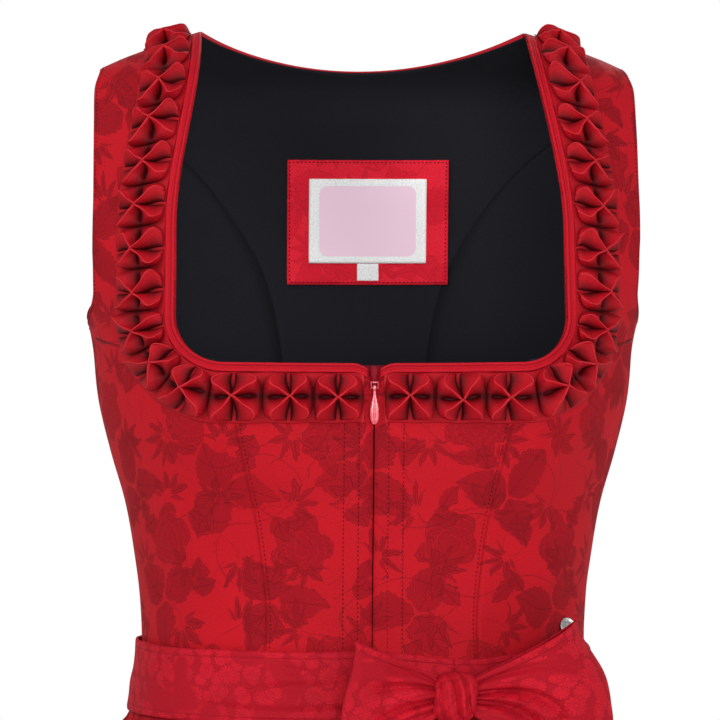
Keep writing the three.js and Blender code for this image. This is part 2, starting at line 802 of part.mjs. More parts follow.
function addTies() {
  // The tie from the left covers the end of the other one at the centre back
  const atKnot = frontAngle(knot.x, knot.z);
  const leftFrom = (v) => -Math.PI - 0.2 + 0.12 * v;
  addPiece('tie_left', bandGeometry(leftFrom, () => atKnot - 0.002, 34, () => layer.tie), colours.apron);
  const rightCloth = (angle) => {
    const under = THREE.MathUtils.smoothstep(angle, 2.3, 2.7);
    return {
      inner: lerp(layer.tie.inner, layer.waistband.inner, under),
      outer: lerp(layer.tie.outer, layer.waistband.outer, under),
    };
  };
  addPiece('tie_right', bandGeometry(() => atKnot + 0.002, () => Math.PI + 0.05, 28, rightCloth), colours.apron);
}

// The middle of the bow lies just in front of the ties
function knotDepth() {
  const nearX = knot.x - knot.halfWidth;
  const tieFace = outFromForm(frontAngle(nearX, knot.z), knot.z, layer.tie.outer).y;
  return tieFace - seamGap - knot.halfDepth;
}

// A loop: a flattened tube of cloth, open above and below, narrow at the knot
function loopGeometry({ side, length, rise, endWidth, endLean, bulge, fallBack }) {
  const knotWidth = 20;
  const aroundSteps = 14;
  const middleY = knotDepth();
  return clothWall(aroundSteps, 4, (u, v, outside) => {
    const turn = 2 * Math.PI * u;
    const share = (1 - Math.cos(turn)) / 2;
    const halfDepth = 3.2 * (1 - share) + bulge * share ** 0.8 * Math.sqrt(Math.max(0, 1 - share ** 5));
    const inset = outside ? 0 : clothThickness;
    const depth = Math.sign(Math.sin(turn)) * Math.max(halfDepth - inset, 0.6);
    const onFold = Math.abs(Math.sin(turn)) < 1e-6;
    const along = lerp(inset, length - inset, share) + endLean * (2 * v - 1) * share;
    const width = lerp(knotWidth, endWidth, share ** 0.8);
    return new THREE.Vector3(
      knot.x + side * (knot.halfWidth + seamGap + along),
      middleY - (onFold ? 0 : depth) + fallBack * share ** 2,
      knot.z + rise * share + width * (v - 0.5),
    );
  }, true);
}

function addBow() {
  const wrap = new THREE.SphereGeometry(1, 12, 8);
  const position = wrap.getAttribute('position');
  const squash = (value) => Math.sign(value) * Math.abs(value) ** 0.7;
  for (let i = 0; i < position.count; i += 1) {
    const direction = new THREE.Vector3().fromBufferAttribute(position, i);
    position.setXYZ(
      i,
      knot.x + knot.halfWidth * squash(direction.x),
      knotDepth() - knot.halfDepth * squash(direction.z),
      knot.z + knot.halfHeight * squash(direction.y),
    );
  }
  addPiece('bow_knot', geometryOf(manifoldOf(wrap)), colours.apron);
  addPiece('bow_loop_left', loopGeometry(loops.left), colours.apron);
  addPiece('bow_loop_right', loopGeometry(loops.right), colours.apron);
  for (const [name, tail] of Object.entries(tails)) {
    addPiece(`bow_tail_${name}`, tailGeometry(tail), colours.apron);
  }
}

// A free end of the ties, lying on the folds of the apron
function tailGeometry({ topX, endX, lift }) {
  return clothWall(3, 7, (u, v, side) => {
    const z = lerp(tailShape.top, tailShape.end, v);
    const width = lerp(tailShape.topWidth, tailShape.endWidth, Math.min(1, 2.5 * v));
    const x = lerp(topX, endX, v) + width * (u - 0.5);
    const thickness = foldedThickness(z);
    const apronFace = layer.bodice.inner + 2 * foldAt(z) + thickness * (2 + apronGap / clothThickness);
    const seat = Math.max(layer.tie.outer, apronFace) + 0.6 + lift;
    return outFromForm(frontAngle(x, z), z, seat + (side ? clothThickness : 0));
  });
}

addFronts();
addBacks();
addBindings();
addRuches();
addZip();
addLabels();
addButton();
addSkirt();
addApron();
addTies();
addBow();

export default dirndl;
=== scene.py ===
import json
import math

import bmesh
import bpy
import numpy as np
from mathutils import Matrix, Vector


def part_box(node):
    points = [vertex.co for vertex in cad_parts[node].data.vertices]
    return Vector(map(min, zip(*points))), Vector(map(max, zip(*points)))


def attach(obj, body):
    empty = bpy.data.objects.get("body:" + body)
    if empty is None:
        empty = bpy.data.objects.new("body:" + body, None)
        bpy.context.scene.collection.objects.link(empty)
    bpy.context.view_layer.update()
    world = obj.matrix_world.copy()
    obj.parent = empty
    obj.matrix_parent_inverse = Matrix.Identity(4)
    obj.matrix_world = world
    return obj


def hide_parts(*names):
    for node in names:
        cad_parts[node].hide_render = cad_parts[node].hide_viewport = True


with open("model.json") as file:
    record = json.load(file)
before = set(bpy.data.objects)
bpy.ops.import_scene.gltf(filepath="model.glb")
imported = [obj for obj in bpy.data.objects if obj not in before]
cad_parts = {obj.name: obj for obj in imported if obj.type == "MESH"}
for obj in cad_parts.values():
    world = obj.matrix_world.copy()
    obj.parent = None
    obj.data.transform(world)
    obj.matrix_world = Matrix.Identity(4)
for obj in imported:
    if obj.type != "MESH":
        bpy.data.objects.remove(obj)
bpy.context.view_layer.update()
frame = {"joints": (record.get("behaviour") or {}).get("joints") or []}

# Front panels of the bodice
# Two centre panels beside the zip and two side panels that run up into the straps, cut from red
# jacquard with a darker figure of leaves and roses. They are sewn together along the princess seams.
# Sizes are in millimetres, and a mesh is scaled to metres as it is made.
mm = 0.001
seam_gap = 0.03
bodice_out = 2.8
bodice_thick = 1.3
waist, bodice_base = -350, -349.85
form_z, form_side, form_front, form_back = np.array([
    (3, 89, 0, 0), (-2, 105, 24, 36), (-9, 124, 36, 53), (-15, 139, 45, 64), (-22.5, 153, 54, 72),
    (-45, 163, 70, 81), (-85, 168, 86, 90), (-125, 165, 97, 95), (-165, 152.5, 106, 94),
    (-205, 147.5, 110, 90), (-233, 140.8, 108, 86), (-262, 132.5, 103, 83), (-290, 127.5, 98, 81),
    (-319, 124, 95, 80), (-350, 123.5, 95, 82), (-383, 129, 100, 92), (-450, 153, 120, 120),
    (-600, 196, 158, 161), (-800, 243, 199, 202), (-1000, 282, 235, 235),
], float).T
squareness = 2.4
sides = (("left", -1), ("right", 1))
cup = {"depth": 12, "angle": 0.62, "angle_reach": 0.34, "height": -206, "height_reach": 40}


def lerp(a, b, share):
    return a + (b - a) * share


def smoothstep(value, low, high):
    share = np.clip((value - low) / (high - low), 0, 1)
    return share * share * (3 - 2 * share)


def hump(value, middle, width):
    """1 at the middle, and soon 0 on both sides of it."""
    return np.exp(-(((value - middle) / width) ** 2))


def lengths_along(points):
    """The length of a line of points up to each of them."""
    return np.pad(np.linalg.norm(np.diff(points, axis=0), axis=1).cumsum(), (1, 0))


def smooth_between(heights, values, z):
    """A smooth curve through a column of values, whose heights run downwards."""
    z = np.clip(z, heights[-1], heights[0])
    i = np.clip(np.searchsorted(-heights, -z, side="right") - 1, 0, len(heights) - 2)
    slopes = np.diff(values) / np.diff(heights)
    tangents = np.concatenate([slopes[:1], (slopes[1:] + slopes[:-1]) / 2, slopes[-1:]])
    step = heights[i + 1] - heights[i]
    t = (z - heights[i]) / step
    return (
        (2 * t**3 - 3 * t**2 + 1) * values[i]
        + (t**3 - 2 * t**2 + t) * step * tangents[i]
        + (3 * t**2 - 2 * t**3) * values[i + 1]
        + (t**3 - t**2) * step * tangents[i + 1]
    )


def section(z):
    side = smooth_between(form_z, form_side, z)
    front = np.sqrt(np.maximum(0, smooth_between(form_z, form_front**2, z)))
    back = np.sqrt(np.maximum(0, smooth_between(form_z, form_back**2, z)))
    return side, front, back


def on_form(angle, z):
    """Points of the worn form. Angle 0 is the middle of the front, a quarter turn the right side."""
    angle, z = np.broadcast_arrays(np.asarray(angle, float), np.asarray(z, float))
    side, front, back = section(z)
    sin, cos = np.sin(angle), np.cos(angle)
    x = side * np.sign(sin) * np.abs(sin) ** (2 / squareness)
    turned = np.abs(np.arctan2(sin, cos))
    cup_here = cup["depth"] * np.exp(
        -(((turned - cup["angle"]) / cup["angle_reach"]) ** 2)
        - ((z - cup["height"]) / cup["height_reach"]) ** 2
    )
    y = -np.where(cos > 0, front, back) * cos - cup_here
    return np.stack([x, y, z], axis=-1)


def outward(angle, z):
    along = on_form(angle + 1e-3, z) - on_form(angle - 1e-3, z)
    up = on_form(angle, z + 0.05) - on_form(angle, z - 0.05)
    normal = np.cross(along, up)
    return normal / np.linalg.norm(normal, axis=-1, keepdims=True)


def out_from(angle, z, distance):
    angle, z, distance = np.broadcast_arrays(np.asarray(angle, float), z, distance)
    return on_form(angle, z) + outward(angle, z) * distance[..., None]


def front_angle(x, z):
    share = np.minimum(1, np.abs(x) / section(z)[0])
    return np.sign(x) * np.arcsin(share ** (squareness / 2))


def back_angle(x, z):
    return math.pi - front_angle(x, z)


# How far a point of the form lies round from the centre front and up, measured on the cloth
ring_angles = np.linspace(-1.2 * math.pi, 1.2 * math.pi, 481)
ring_heights = np.linspace(-1000, 3, 202)
rings = on_form(ring_angles[None, :], ring_heights[:, None])
ring_lengths = np.pad(np.linalg.norm(np.diff(rings, axis=1), axis=2).cumsum(axis=1), ((0, 0), (1, 0)))
centre_front = len(ring_angles) // 2
ring_lengths -= ring_lengths[:, centre_front:centre_front + 1]
side_line = on_form(1.0, ring_heights)
up_lengths = lengths_along(side_line)


def cloth_place(angle, z):
    """The place on the flat cloth of a point of the form."""
    angle, z = np.broadcast_arrays(np.asarray(angle, float), np.asarray(z, float))
    a = (angle - ring_angles[0]) / (ring_angles[1] - ring_angles[0])
    b = (z - ring_heights[0]) / (ring_heights[1] - ring_heights[0])
    i = np.clip(a.astype(int), 0, len(ring_angles) - 2)
    j = np.clip(b.astype(int), 0, len(ring_heights) - 2)
    low = lerp(ring_lengths[j, i], ring_lengths[j, i + 1], a - i)
    high = lerp(ring_lengths[j + 1, i], ring_lengths[j + 1, i + 1], a - i)
    return np.stack([lerp(low, high, b - j), np.interp(z, ring_heights, up_lengths)], axis=-1)


def creases(x, z, table):
    """Soft troughs and ridges, each from one point to another, bent sideways in the middle."""
    rise = np.zeros(np.broadcast(x, z).shape)
    for x1, z1, x2, z2, bend, width, depth in table:
        length = math.hypot(x2 - x1, z2 - z1)
        along_x, along_z = (x2 - x1) / length, (z2 - z1) / length
        along = np.clip((x - x1) * along_x + (z - z1) * along_z, 0, length)
        share = along / length
        sideways = bend * 4 * share * (1 - share)
        gap_x = x - x1 - along * along_x + sideways * along_z
        gap_z = z - z1 - along * along_z - sideways * along_x
        rise += depth * np.exp(-(gap_x**2 + gap_z**2) / width**2)
    return rise


def lay_cloth(bm, columns, rows, place):
    """Adds a grid of cloth. place(u, v) gives its points, its place on the flat cloth and its edge."""
    cloth_layer = bm.loops.layers.uv.get("cloth") or bm.loops.layers.uv.new("cloth")
    edge_layer = bm.verts.layers.float.get("edge") or bm.verts.layers.float.new("edge")
    made = bmesh.ops.create_grid(bm, x_segments=columns, y_segments=rows, size=0.5)["verts"]
    flat = np.array([vert.co[:2] for vert in made]) + 0.5
    points, cloth, edge = place(flat[:, 0], flat[:, 1])
    points, cloth = points * mm, cloth * mm
    edge = np.broadcast_to(edge, len(made))
    where = {}
    for number, vert in enumerate(made):
        vert.co = points[number]
        vert[edge_layer] = edge[number]
        where[vert] = cloth[number]
    faces = {face for vert in made for face in vert.link_faces}
    for face in faces:
        for loop in face.loops:
            loop[cloth_layer].uv = where[loop.vert]


def new_piece(bm, name, materials, body="garment"):
    """Makes the mesh a piece that rides on its body, with the given materials."""
    mesh = bpy.data.meshes.new(name)
    bm.to_mesh(mesh)
    bm.free()
    mesh.shade_smooth()
    for material in materials:
        mesh.materials.append(material)
    piece = bpy.data.objects.new(name, mesh)
    bpy.context.scene.collection.objects.link(piece)
    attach(piece, body)
    return piece


def cloth_piece(node, materials, thickness, grids, closed=False,
                levels=0):
    """Lays all the cloth of one node, which gets its thickness on the inner side."""
    bm = bmesh.new()
    for columns, rows, place in grids:
        lay_cloth(bm, columns, rows, place)
    if closed:
        bmesh.ops.remove_doubles(bm, verts=bm.verts, dist=0.02 * mm)
        bmesh.ops.recalc_face_normals(bm, faces=bm.faces)
    bm.normal_update()
    facing = sum(face.normal.xy.dot(face.calc_center_median().xy) * face.calc_area() for face in bm.faces)
    if facing < 0:
        bmesh.ops.reverse_faces(bm, faces=bm.faces)
    piece = new_piece(bm, node + "_cloth", materials)
    wall = piece.modifiers.new("thickness", "SOLIDIFY")
    wall.thickness, wall.offset, wall.material_offset = thickness * mm, -1, len(materials) - 1
    if levels:
        soft = piece.modifiers.new("soft", "SUBSURF")
        soft.levels = soft.render_levels = levels
    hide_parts(node)


whole_turn = 6.2832


class Amount:
    """A number that changes over the cloth, for sums in a shader."""

    def __init__(self, tree, socket):
        self.tree, self.socket = tree, socket

    def sum(self, operation, *others, clamp=False):
        node = self.tree.nodes.new("ShaderNodeMath")
        node.operation, node.use_clamp = operation, clamp
        for place, term in enumerate((self, *others)):
            if isinstance(term, Amount):
                self.tree.links.new(term.socket, node.inputs[place])
            else:
                node.inputs[place].default_value = term
        return Amount(self.tree, node.outputs[0])

    def __add__(self, other):
        return self.sum("ADD", other)

    def __sub__(self, other):
        return self.sum("SUBTRACT", other)

    def __mul__(self, other):
        return self.sum("MULTIPLY", other)

    def __truediv__(self, other):
        return self.sum("DIVIDE", other)

    def __pow__(self, other):
        return self.sum("POWER", other)

    def abs(self):
        return self.sum("ABSOLUTE")

    def over(self, edge, soft):
        """0 below the edge and 1 above it, with a soft change."""
        return (self - edge + soft / 2).sum("MULTIPLY", 1 / soft, clamp=True)

    def under(self, edge, soft):
        return (self * -1).over(-edge, soft)

    def either(self, other):
        return self.sum("MAXIMUM", other)


def new_node(tree, kind, **settings):
    node = tree.nodes.new(kind)
    for name, value in settings.items():
        if name in node.inputs:
            node.inputs[name].default_value = value
        else:
            setattr(node, name, value)
    return node


def noise(tree, vector, scale, detail, **settings):
    node = new_node(tree, "ShaderNodeTexNoise", Scale=scale, Detail=detail, **settings)
    tree.links.new(vector, node.inputs["Vector"])
    return node


def new_group(name, inputs, outputs):
    """An empty shader group with named number or vector sockets."""
    group = bpy.data.node_groups.new(name, "ShaderNodeTree")
    for way, sockets in (("INPUT", inputs), ("OUTPUT", outputs)):
        for socket, kind, *value in sockets:
            made = group.interface.new_socket(socket, in_out=way, socket_type="NodeSocket" + kind)
            if value:
                made.default_value = value[0]
    return group, group.nodes.new("NodeGroupInput"), group.nodes.new("NodeGroupOutput")


def split(tree, vector):
    node = tree.nodes.new("ShaderNodeSeparateXYZ")
    tree.links.new(vector, node.inputs[0])
    return Amount(tree, node.outputs[0]), Amount(tree, node.outputs[1])


def joined(tree, x, y):
    node = tree.nodes.new("ShaderNodeCombineXYZ")
    tree.links.new(x.socket, node.inputs[0])
    tree.links.new(y.socket, node.inputs[1])
    return node.outputs[0]


def round_centre(x, y):
    """The turn round a centre and the distance from it."""
    return y.sum("ARCTAN2", x), (x * x + y * y).sum("SQRT")


def in_sector(x, y, sectors):
    """A place in one of several equal sectors: along its middle line, across it, and from the centre."""
    around, reach = round_centre(x, y)
    turned = (((around / whole_turn + 1) * sectors).sum("FRACT") - 0.5) * (whole_turn / sectors)
    return reach * turned.sum("COSINE"), reach * turned.sum("SINE"), reach


def scattered(tree, x, y, cell, shift, seed, stray):
    """Cells in shifted rows, each with its own turn: gives the place in a cell in mm, and two chances."""
    row = ((y + shift[1]) / cell[1]).sum("FLOOR")
    moved = (x + shift[0]) / cell[0] + row * 0.5 + row * row * 0.23
    column = moved.sum("FLOOR")
    chance = new_node(tree, "ShaderNodeTexWhiteNoise", noise_dimensions="2D")
    tree.links.new(joined(tree, column + seed, row), chance.inputs["Vector"])
    first, second = split(tree, chance.outputs["Color"])
    in_x = (moved - column - 0.5) * cell[0] + (first - 0.5) * stray
    in_y = ((y + shift[1]) / cell[1] - row - 0.5) * cell[1] + (second - 0.5) * stray
    turn = (first + second * 3.7) * whole_turn
    cos, sin = turn.sum("COSINE"), turn.sum("SINE")
    return in_x * cos + in_y * sin, in_y * cos - in_x * sin, first, second


def figure_group(name):
    """A shader group for a woven figure, and the place on the flat cloth in mm."""
    group, given, out = new_group(
        name, [("Place", "Vector")], [("Figure", "Float"), ("Outline", "Float"), ("Veins", "Float")]
    )
    flat_x, flat_y = split(group, given.outputs["Place"])
    return group, given.outputs["Place"], out, flat_x * 1000, flat_y * 1000


def leaf(x, y, start, length, half_width, lobes, vein_pitch=2.2):
    """A toothed leaf along x: its figure, and its outline and veins."""
    share = (x - start) / length
    inside = share.over(0, 0.02) * share.under(1, 0.02)
    swell = (share.sum("MAXIMUM", 0.001) ** 0.75 * 3.1416).sum("SINE").sum("MAXIMUM", 0)
    teeth = (share * (whole_turn * lobes)).sum("SINE").abs() * (half_width * 0.14)
    spare = swell * half_width + teeth * swell - y.abs()
    figure = spare.over(0.4, 1.1) * inside
    rim = spare.abs().under(0.3, 0.35) * inside
    side_vein = ((x - y.abs() * 1.3) / vein_pitch).sum("FRACT").under(0.28, 0.25)
    veins = (y.abs().under(0.28, 0.35)).either(side_vein * 0.8) * figure
    return figure, rim, veins


def rose_jacquard_group():
    group, place, out, x, y = figure_group("rose_and_leaf_figure")
    for scale, reach in ((38.0, 10), (230.0, 2.2)):
        stir_x, stir_y = split(group, noise(group, place, scale, 1.0, noise_dimensions="2D").outputs["Color"])
        x, y = x + (stir_x - 0.5) * reach, y + (stir_y - 0.5) * reach
    pieces, stems = [], []

    # Clusters of three toothed leaves
    in_x, in_y, _, _ = scattered(group, x, y, (78, 69), (11, 20), 3.0, 12)
    along, across, reach = in_sector(in_x, in_y, 3)
    pieces.append(leaf(along, across, 1.5, 29, 9.5, 4))
    curve = (in_y + (in_x * in_x) * 0.018 - 2).abs()
    stems.append(curve.under(0.2, 0.4) * reach.over(28, 1) * reach.under(40, 1))

    # Full roses of curled petals with a fine hatch
    rose_x, rose_y, _, _ = scattered(group, x, y, (78, 69), (53, 54), 8.0, 10)
    around, reach = round_centre(rose_x, rose_y)
    rose_edge = (around * 2.5).sum("SINE").abs() * 5 + 12.5 - reach
    curl = (reach / 4.4 + around / whole_turn + (around * 3).sum("SINE") * 0.2).sum("FRACT")
    hatch = (around * 4.6 + (reach * 0.7).sum("SINE")).sum("FRACT").under(0.25, 0.25) * 0.8
    rose = rose_edge.over(0.4, 1.1)
    petals = rose * (curl.under(0.12, 0.14) * -0.7 + 1)
    pieces.append((petals, rose_edge.abs().under(0.3, 0.35), hatch * rose))

    # Sprigs of round leaves in pairs, and fans of narrow leaves on a thin stem
    sprig_x, sprig_y, _, _ = scattered(group, x, y, (44, 39), (5, 9), 21.0, 6)
    for side, start in ((1, -2), (-1, -10)):
        along = sprig_x * 0.785 + sprig_y * (0.62 * side)
        across = sprig_y * (0.785 * side) - sprig_x * 0.62
        pieces.append(leaf(along, across - 1.5, start + 3, 15, 4.2, 2, 1.5))
    curve = (sprig_y + (sprig_x * 0.12).sum("SINE") * 3).abs()
    stems.append(curve.under(0.18, 0.35) * sprig_x.abs().under(17, 1))
    fan_x, fan_y, _, _ = scattered(group, x, y, (37, 34), (19, 3), 40.0, 8)
    along, across, _ = in_sector(fan_x, fan_y, 9)
    pieces.append([part * fan_x.over(-1, 1) for part in leaf(along, across, 3.0, 13, 1.7, 1, 1.2)])
    curve = (fan_y + (fan_x * 0.2).sum("SINE") * 2).abs()
    stems.append(curve.under(0.15, 0.35) * fan_x.under(0, 1) * fan_x.over(-15, 1))

    # Long trailing stems
    trail = noise(group, place, 14.0, 0.0, noise_dimensions="2D")
    stems.append((Amount(group, trail.outputs["Fac"]) - 0.5).abs().under(0.0022, 0.002) * 0.8)

    for name, parts in (
        ("Figure", [piece[0] for piece in pieces]),
        ("Outline", [piece[1] for piece in pieces] + stems),
        ("Veins", [piece[2] for piece in pieces]),
    ):
        whole = parts[0]
        for part in parts[1:]:
            whole = whole.either(part)
        group.links.new(whole.socket, out.inputs[name])
    return group


def weave_group():
    """Crossing threads: their height, and a tint that varies from thread to thread."""
    group, given, out = new_group(
        "crossing_threads",
        [("Place", "Vector"), ("Thread", "Float", 0.45)],
        [("Height", "Float"), ("Tint", "Float")],
    )
    flat_x, flat_y = split(group, given.outputs["Place"])
    thread = Amount(group, given.outputs["Thread"])
    warp, weft = flat_x * 1000 / thread, flat_y * 1000 / thread
    over = (warp.sum("FLOOR") + weft.sum("FLOOR") * 0.5).sum("FRACT").over(0.25, 0.02)
    warp_height, weft_height = ((run * whole_turn).sum("COSINE") * 0.5 + 0.5 for run in (warp, weft))
    height = warp_height * over + weft_height * (over * -1 + 1)
    slub = noise(group, given.outputs["Place"], 900.0, 3.0, noise_dimensions="2D")
    grain = Amount(group, slub.outputs["Fac"])
    group.links.new((height * 0.7 + grain * 0.6).socket, out.inputs["Height"])
    group.links.new(grain.socket, out.inputs["Tint"])
    return group


def tone_and_highlight_group():
    """The broad uneven tone of cloth that was folded and pressed, and a mask for a painted highlight along its
    edges.
    """
    group, given, out = new_group(
        "tone_and_highlight", [("Place", "Vector"), ("Edge", "Float", 50.0)], [("Tone", "Float"), ("Worn", "Float")]
    )
    broad = noise(group, given.outputs["Place"], 16.0, 3.0)
    highlight_mask = Amount(group, given.outputs["Edge"]).under(0.5, 0.9)
    group.links.new(broad.outputs["Fac"], out.inputs["Tone"])
    group.links.new(highlight_mask.socket, out.inputs["Worn"])
    return group


rose_figure, threads, tone_and_highlight = rose_jacquard_group(), weave_group(), tone_and_highlight_group()


def put(tree, group, **links):
    node = tree.nodes.new("ShaderNodeGroup")
    node.node_tree = group
    for name, value in links.items():
        if hasattr(value, "is_linked"):
            tree.links.new(value, node.inputs[name])
        else:
            node.inputs[name].default_value = value
    return node


def mixed(tree, share, first, second):
    """A colour between two, by a share from 0 to 1."""
    node = new_node(tree, "ShaderNodeMix", data_type="RGBA", clamp_factor=True)
    tree.links.new(share.socket, node.inputs[0])
    for value, socket in ((first, node.inputs[6]), (second, node.inputs[7])):
        if hasattr(value, "is_linked"):
            tree.links.new(value, socket)
        else:
            socket.default_value = (*value, 1)
    return node.outputs[2]


def new_material(name):
    material = bpy.data.materials.new(name)
    material.use_nodes = True
    return material, material.node_tree, material.node_tree.nodes["Principled BSDF"]


def finish_surface(tree, shader, colour, roughness, height, strength, depth):
    """Gives a material its changing colour and gloss, and its relief."""
    bump = new_node(tree, "ShaderNodeBump", Strength=strength, Distance=depth)
    tree.links.new(height.socket, bump.inputs["Height"])
    tree.links.new(bump.outputs[0], shader.inputs["Normal"])
    tree.links.new(colour, shader.inputs["Base Color"])
    tree.links.new(roughness.socket, shader.inputs["Roughness"])


def cloth_material(name, ground, figure_colour=None, line_colour=None, figure=None, thread=0.45, rough=0.62,
                   figure_rough=0.74, sheen=0.06, relief=0.35, painted_highlight_colour=None, painted_shade_colour=None, hem=None):
    """Woven cloth, plain or with a figure, with threads and uneven tone; where asked, a painted highlight on its
    edges and painted shade deep in its folds.
    """
    material, tree, shader = new_material(name)
    place = new_node(tree, "ShaderNodeUVMap", uv_map="cloth").outputs[0]
    edge_node = new_node(tree, "ShaderNodeAttribute", attribute_name="edge")
    edge = Amount(tree, edge_node.outputs["Fac"])
    weave = put(tree, threads, Place=place, Thread=thread)
    height = Amount(tree, weave.outputs["Height"]) * 0.35
    solid = new_node(tree, "ShaderNodeTexCoord").outputs["Object"]
    tone_and_highlight_node = put(tree, tone_and_highlight, Place=solid, Edge=edge.socket)
    tone = Amount(tree, tone_and_highlight_node.outputs["Tone"])
    grain = Amount(tree, weave.outputs["Tint"])
    mottle = tone.over(0.5, 0.5) * 0.45 + grain.over(0.5, 0.4) * 0.55
    colour = mixed(tree, mottle, [c * 0.8 for c in ground], [c * 1.16 for c in ground])
    roughness = tone * 0.08 + rough
    if figure:
        pattern = put(tree, figure, Place=place)
        shape, outline, veins = (Amount(tree, part) for part in pattern.outputs)
        colour = mixed(tree, shape * (grain * 0.5 + tone * 1.5 - 0.4), colour, figure_colour)
        colour = mixed(tree, (outline * 0.75).either(veins * 0.6), colour, line_colour)
        roughness = roughness + shape * (figure_rough - rough)
        height = height + shape * relief - outline.either(veins) * (relief * 0.8)
    if hem:
        groove = (edge - hem).abs().under(0.35, 0.6)
        colour = mixed(tree, groove * 0.55, colour, line_colour)
        height = height - groove * 0.9 + edge.under(hem, 0.8) * 0.5
    # Painted shade: a near-black colour where the edge value is large, deep in folds, slits and pockets.
    if painted_shade_colour:
        colour = mixed(tree, edge.over(6.8, 6.4) * 0.8 + edge.over(9.8, 1.6) * 0.2, colour, painted_shade_colour)
    # Painted highlight: a lighter colour along the cloth's edges, where the edge value is near 0.
    if painted_highlight_colour:
        colour = mixed(tree, Amount(tree, tone_and_highlight_node.outputs["Worn"]) * 0.6, colour, painted_highlight_colour)
    finish_surface(tree, shader, colour, roughness, height, 0.55, 0.45 * mm)
    shader.inputs["Sheen Weight"].default_value = sheen
    shader.inputs["Sheen Roughness"].default_value = 0.4
    shader.inputs["Sheen Tint"].default_value = (*(min(1, c * 1.6) for c in ground), 1)
    shader.inputs["Specular IOR Level"].default_value = 0.12
    return material


bodice_red = (0.4, 0.0028, 0.0096)
figure_red = (0.225, 0.0024, 0.008)
line_red = (0.13, 0.0008, 0.004)
bodice_cloth = cloth_material("bodice_jacquard", bodice_red, figure_red, line_red, figure=rose_figure)
lining_cloth = cloth_material("dark_lining", (0.0116, 0.0116, 0.0156), thread=0.38, rough=0.85, sheen=0.0)

front_seam_z = np.array([-184, -212, -238, -262, -290, -322, -350], float)
front_seam_x = np.array([78.5, 75, 69.5, 64, 59.5, 56.5, 57.5], float)
neckline, neckline_x, neckline_corner, neck_point, neck_point_x = -184, 105.5, 26, 2, 91.5
underarm, shoulder_end = -165, -19.6
zip_slit = {"bottom": 0.12, "top": 0.45}


def edge_at(x, z):
    return front_angle(x, z), z


def front_seam_edge(share):
    z = lerp(bodice_base, neckline, share)
    return edge_at(smooth_between(front_seam_z, front_seam_x, z), z)


def slit_edge(share):
    z = lerp(bodice_base, neckline, share) - 3.2 * smoothstep(share, 0.97, 1)
    return edge_at(lerp(zip_slit["bottom"], zip_slit["top"], share), z)


def strap_edge(z):
    return lerp(neckline_x, neck_point_x, smoothstep(z, -110, neck_point))


def armhole_height(share):
    return (underarm + shoulder_end) / 2 - (shoulder_end - underarm) / 2 * np.cos(math.pi * share)


def armhole_side(z):
    """x of the armhole, which runs into the side seam below and is rounded at the shoulder."""
    return 150.5 + 4.5 * smoothstep(-z, 142, 165) - 2.5 * smoothstep(z, -36, -20) ** 2


# A side front's rows: the princess seam, then the rounded corner of the neckline, then the strap
seam_rows, corner_rows, strap_rows = 6 / 17, 4 / 17, 7 / 17


def side_front_inner(v):
    seam_angle, seam_z = front_seam_edge(np.clip(v / seam_rows, 0, 1))
    turn = np.clip((v - seam_rows) / corner_rows, 0, 1) * math.pi / 2
    corner_z = neckline + neckline_corner - neckline_corner * np.cos(turn)
    corner_x = neckline_x - neckline_corner + neckline_corner * np.sin(turn)
    up = np.clip((v - seam_rows - corner_rows) / strap_rows, 0, 1)
    strap_z = lerp(neckline + neckline_corner, neck_point, 1 - (1 - up) ** 2)
    z = np.where(v <= seam_rows, seam_z, np.where(up <= 0, corner_z, strap_z))
    x = np.where(up <= 0, corner_x, strap_edge(strap_z))
    angle = np.where(v <= seam_rows, seam_angle, front_angle(x, z))
    return np.where(v >= 1, math.pi / 2 - 0.02, angle), z


def side_front_outer(v):
    up = np.clip((v - seam_rows) / (1 - seam_rows), 0, 1)
    side_seam_z = lerp(bodice_base, underarm, np.clip(v / seam_rows, 0, 1))
    z = np.where(v <= seam_rows, side_seam_z, armhole_height(up))
    angle = np.where(v <= seam_rows, math.pi / 2, front_angle(armhole_side(z), z))
    return np.where(v >= 1, math.pi / 2 - 0.003, angle), z


def panel_place(from_edge, to_edge, distance, mirror=1, wrinkles=(), turn_in=0.22):
    """Cloth between two edges on the form, its edges turned in a little at the seams."""

    def place(u, v):
        angle_a, z_a = from_edge(v)
        angle_b, z_b = to_edge(v)
        width = np.linalg.norm(on_form(angle_a, z_a) - on_form(angle_b, z_b), axis=-1)
        inset = np.minimum(0.3, seam_gap / 2 / np.maximum(width, 0.1))
        share = lerp(inset, 1 - inset, u)
        angle, z = lerp(angle_a, angle_b, share), lerp(z_a, z_b, share)
        edge = np.minimum(u, 1 - u) * width
        lift = distance - turn_in * hump(edge, 0, 0.7)
        points = out_from(angle, z, lift)
        if len(wrinkles):
            points += outward(angle, z) * creases(points[:, 0] * mirror, z, wrinkles)[:, None]
        points[:, 0] *= mirror
        cloth = cloth_place(angle, z) * (mirror, 1)
        return points, cloth, edge + 3

    return place


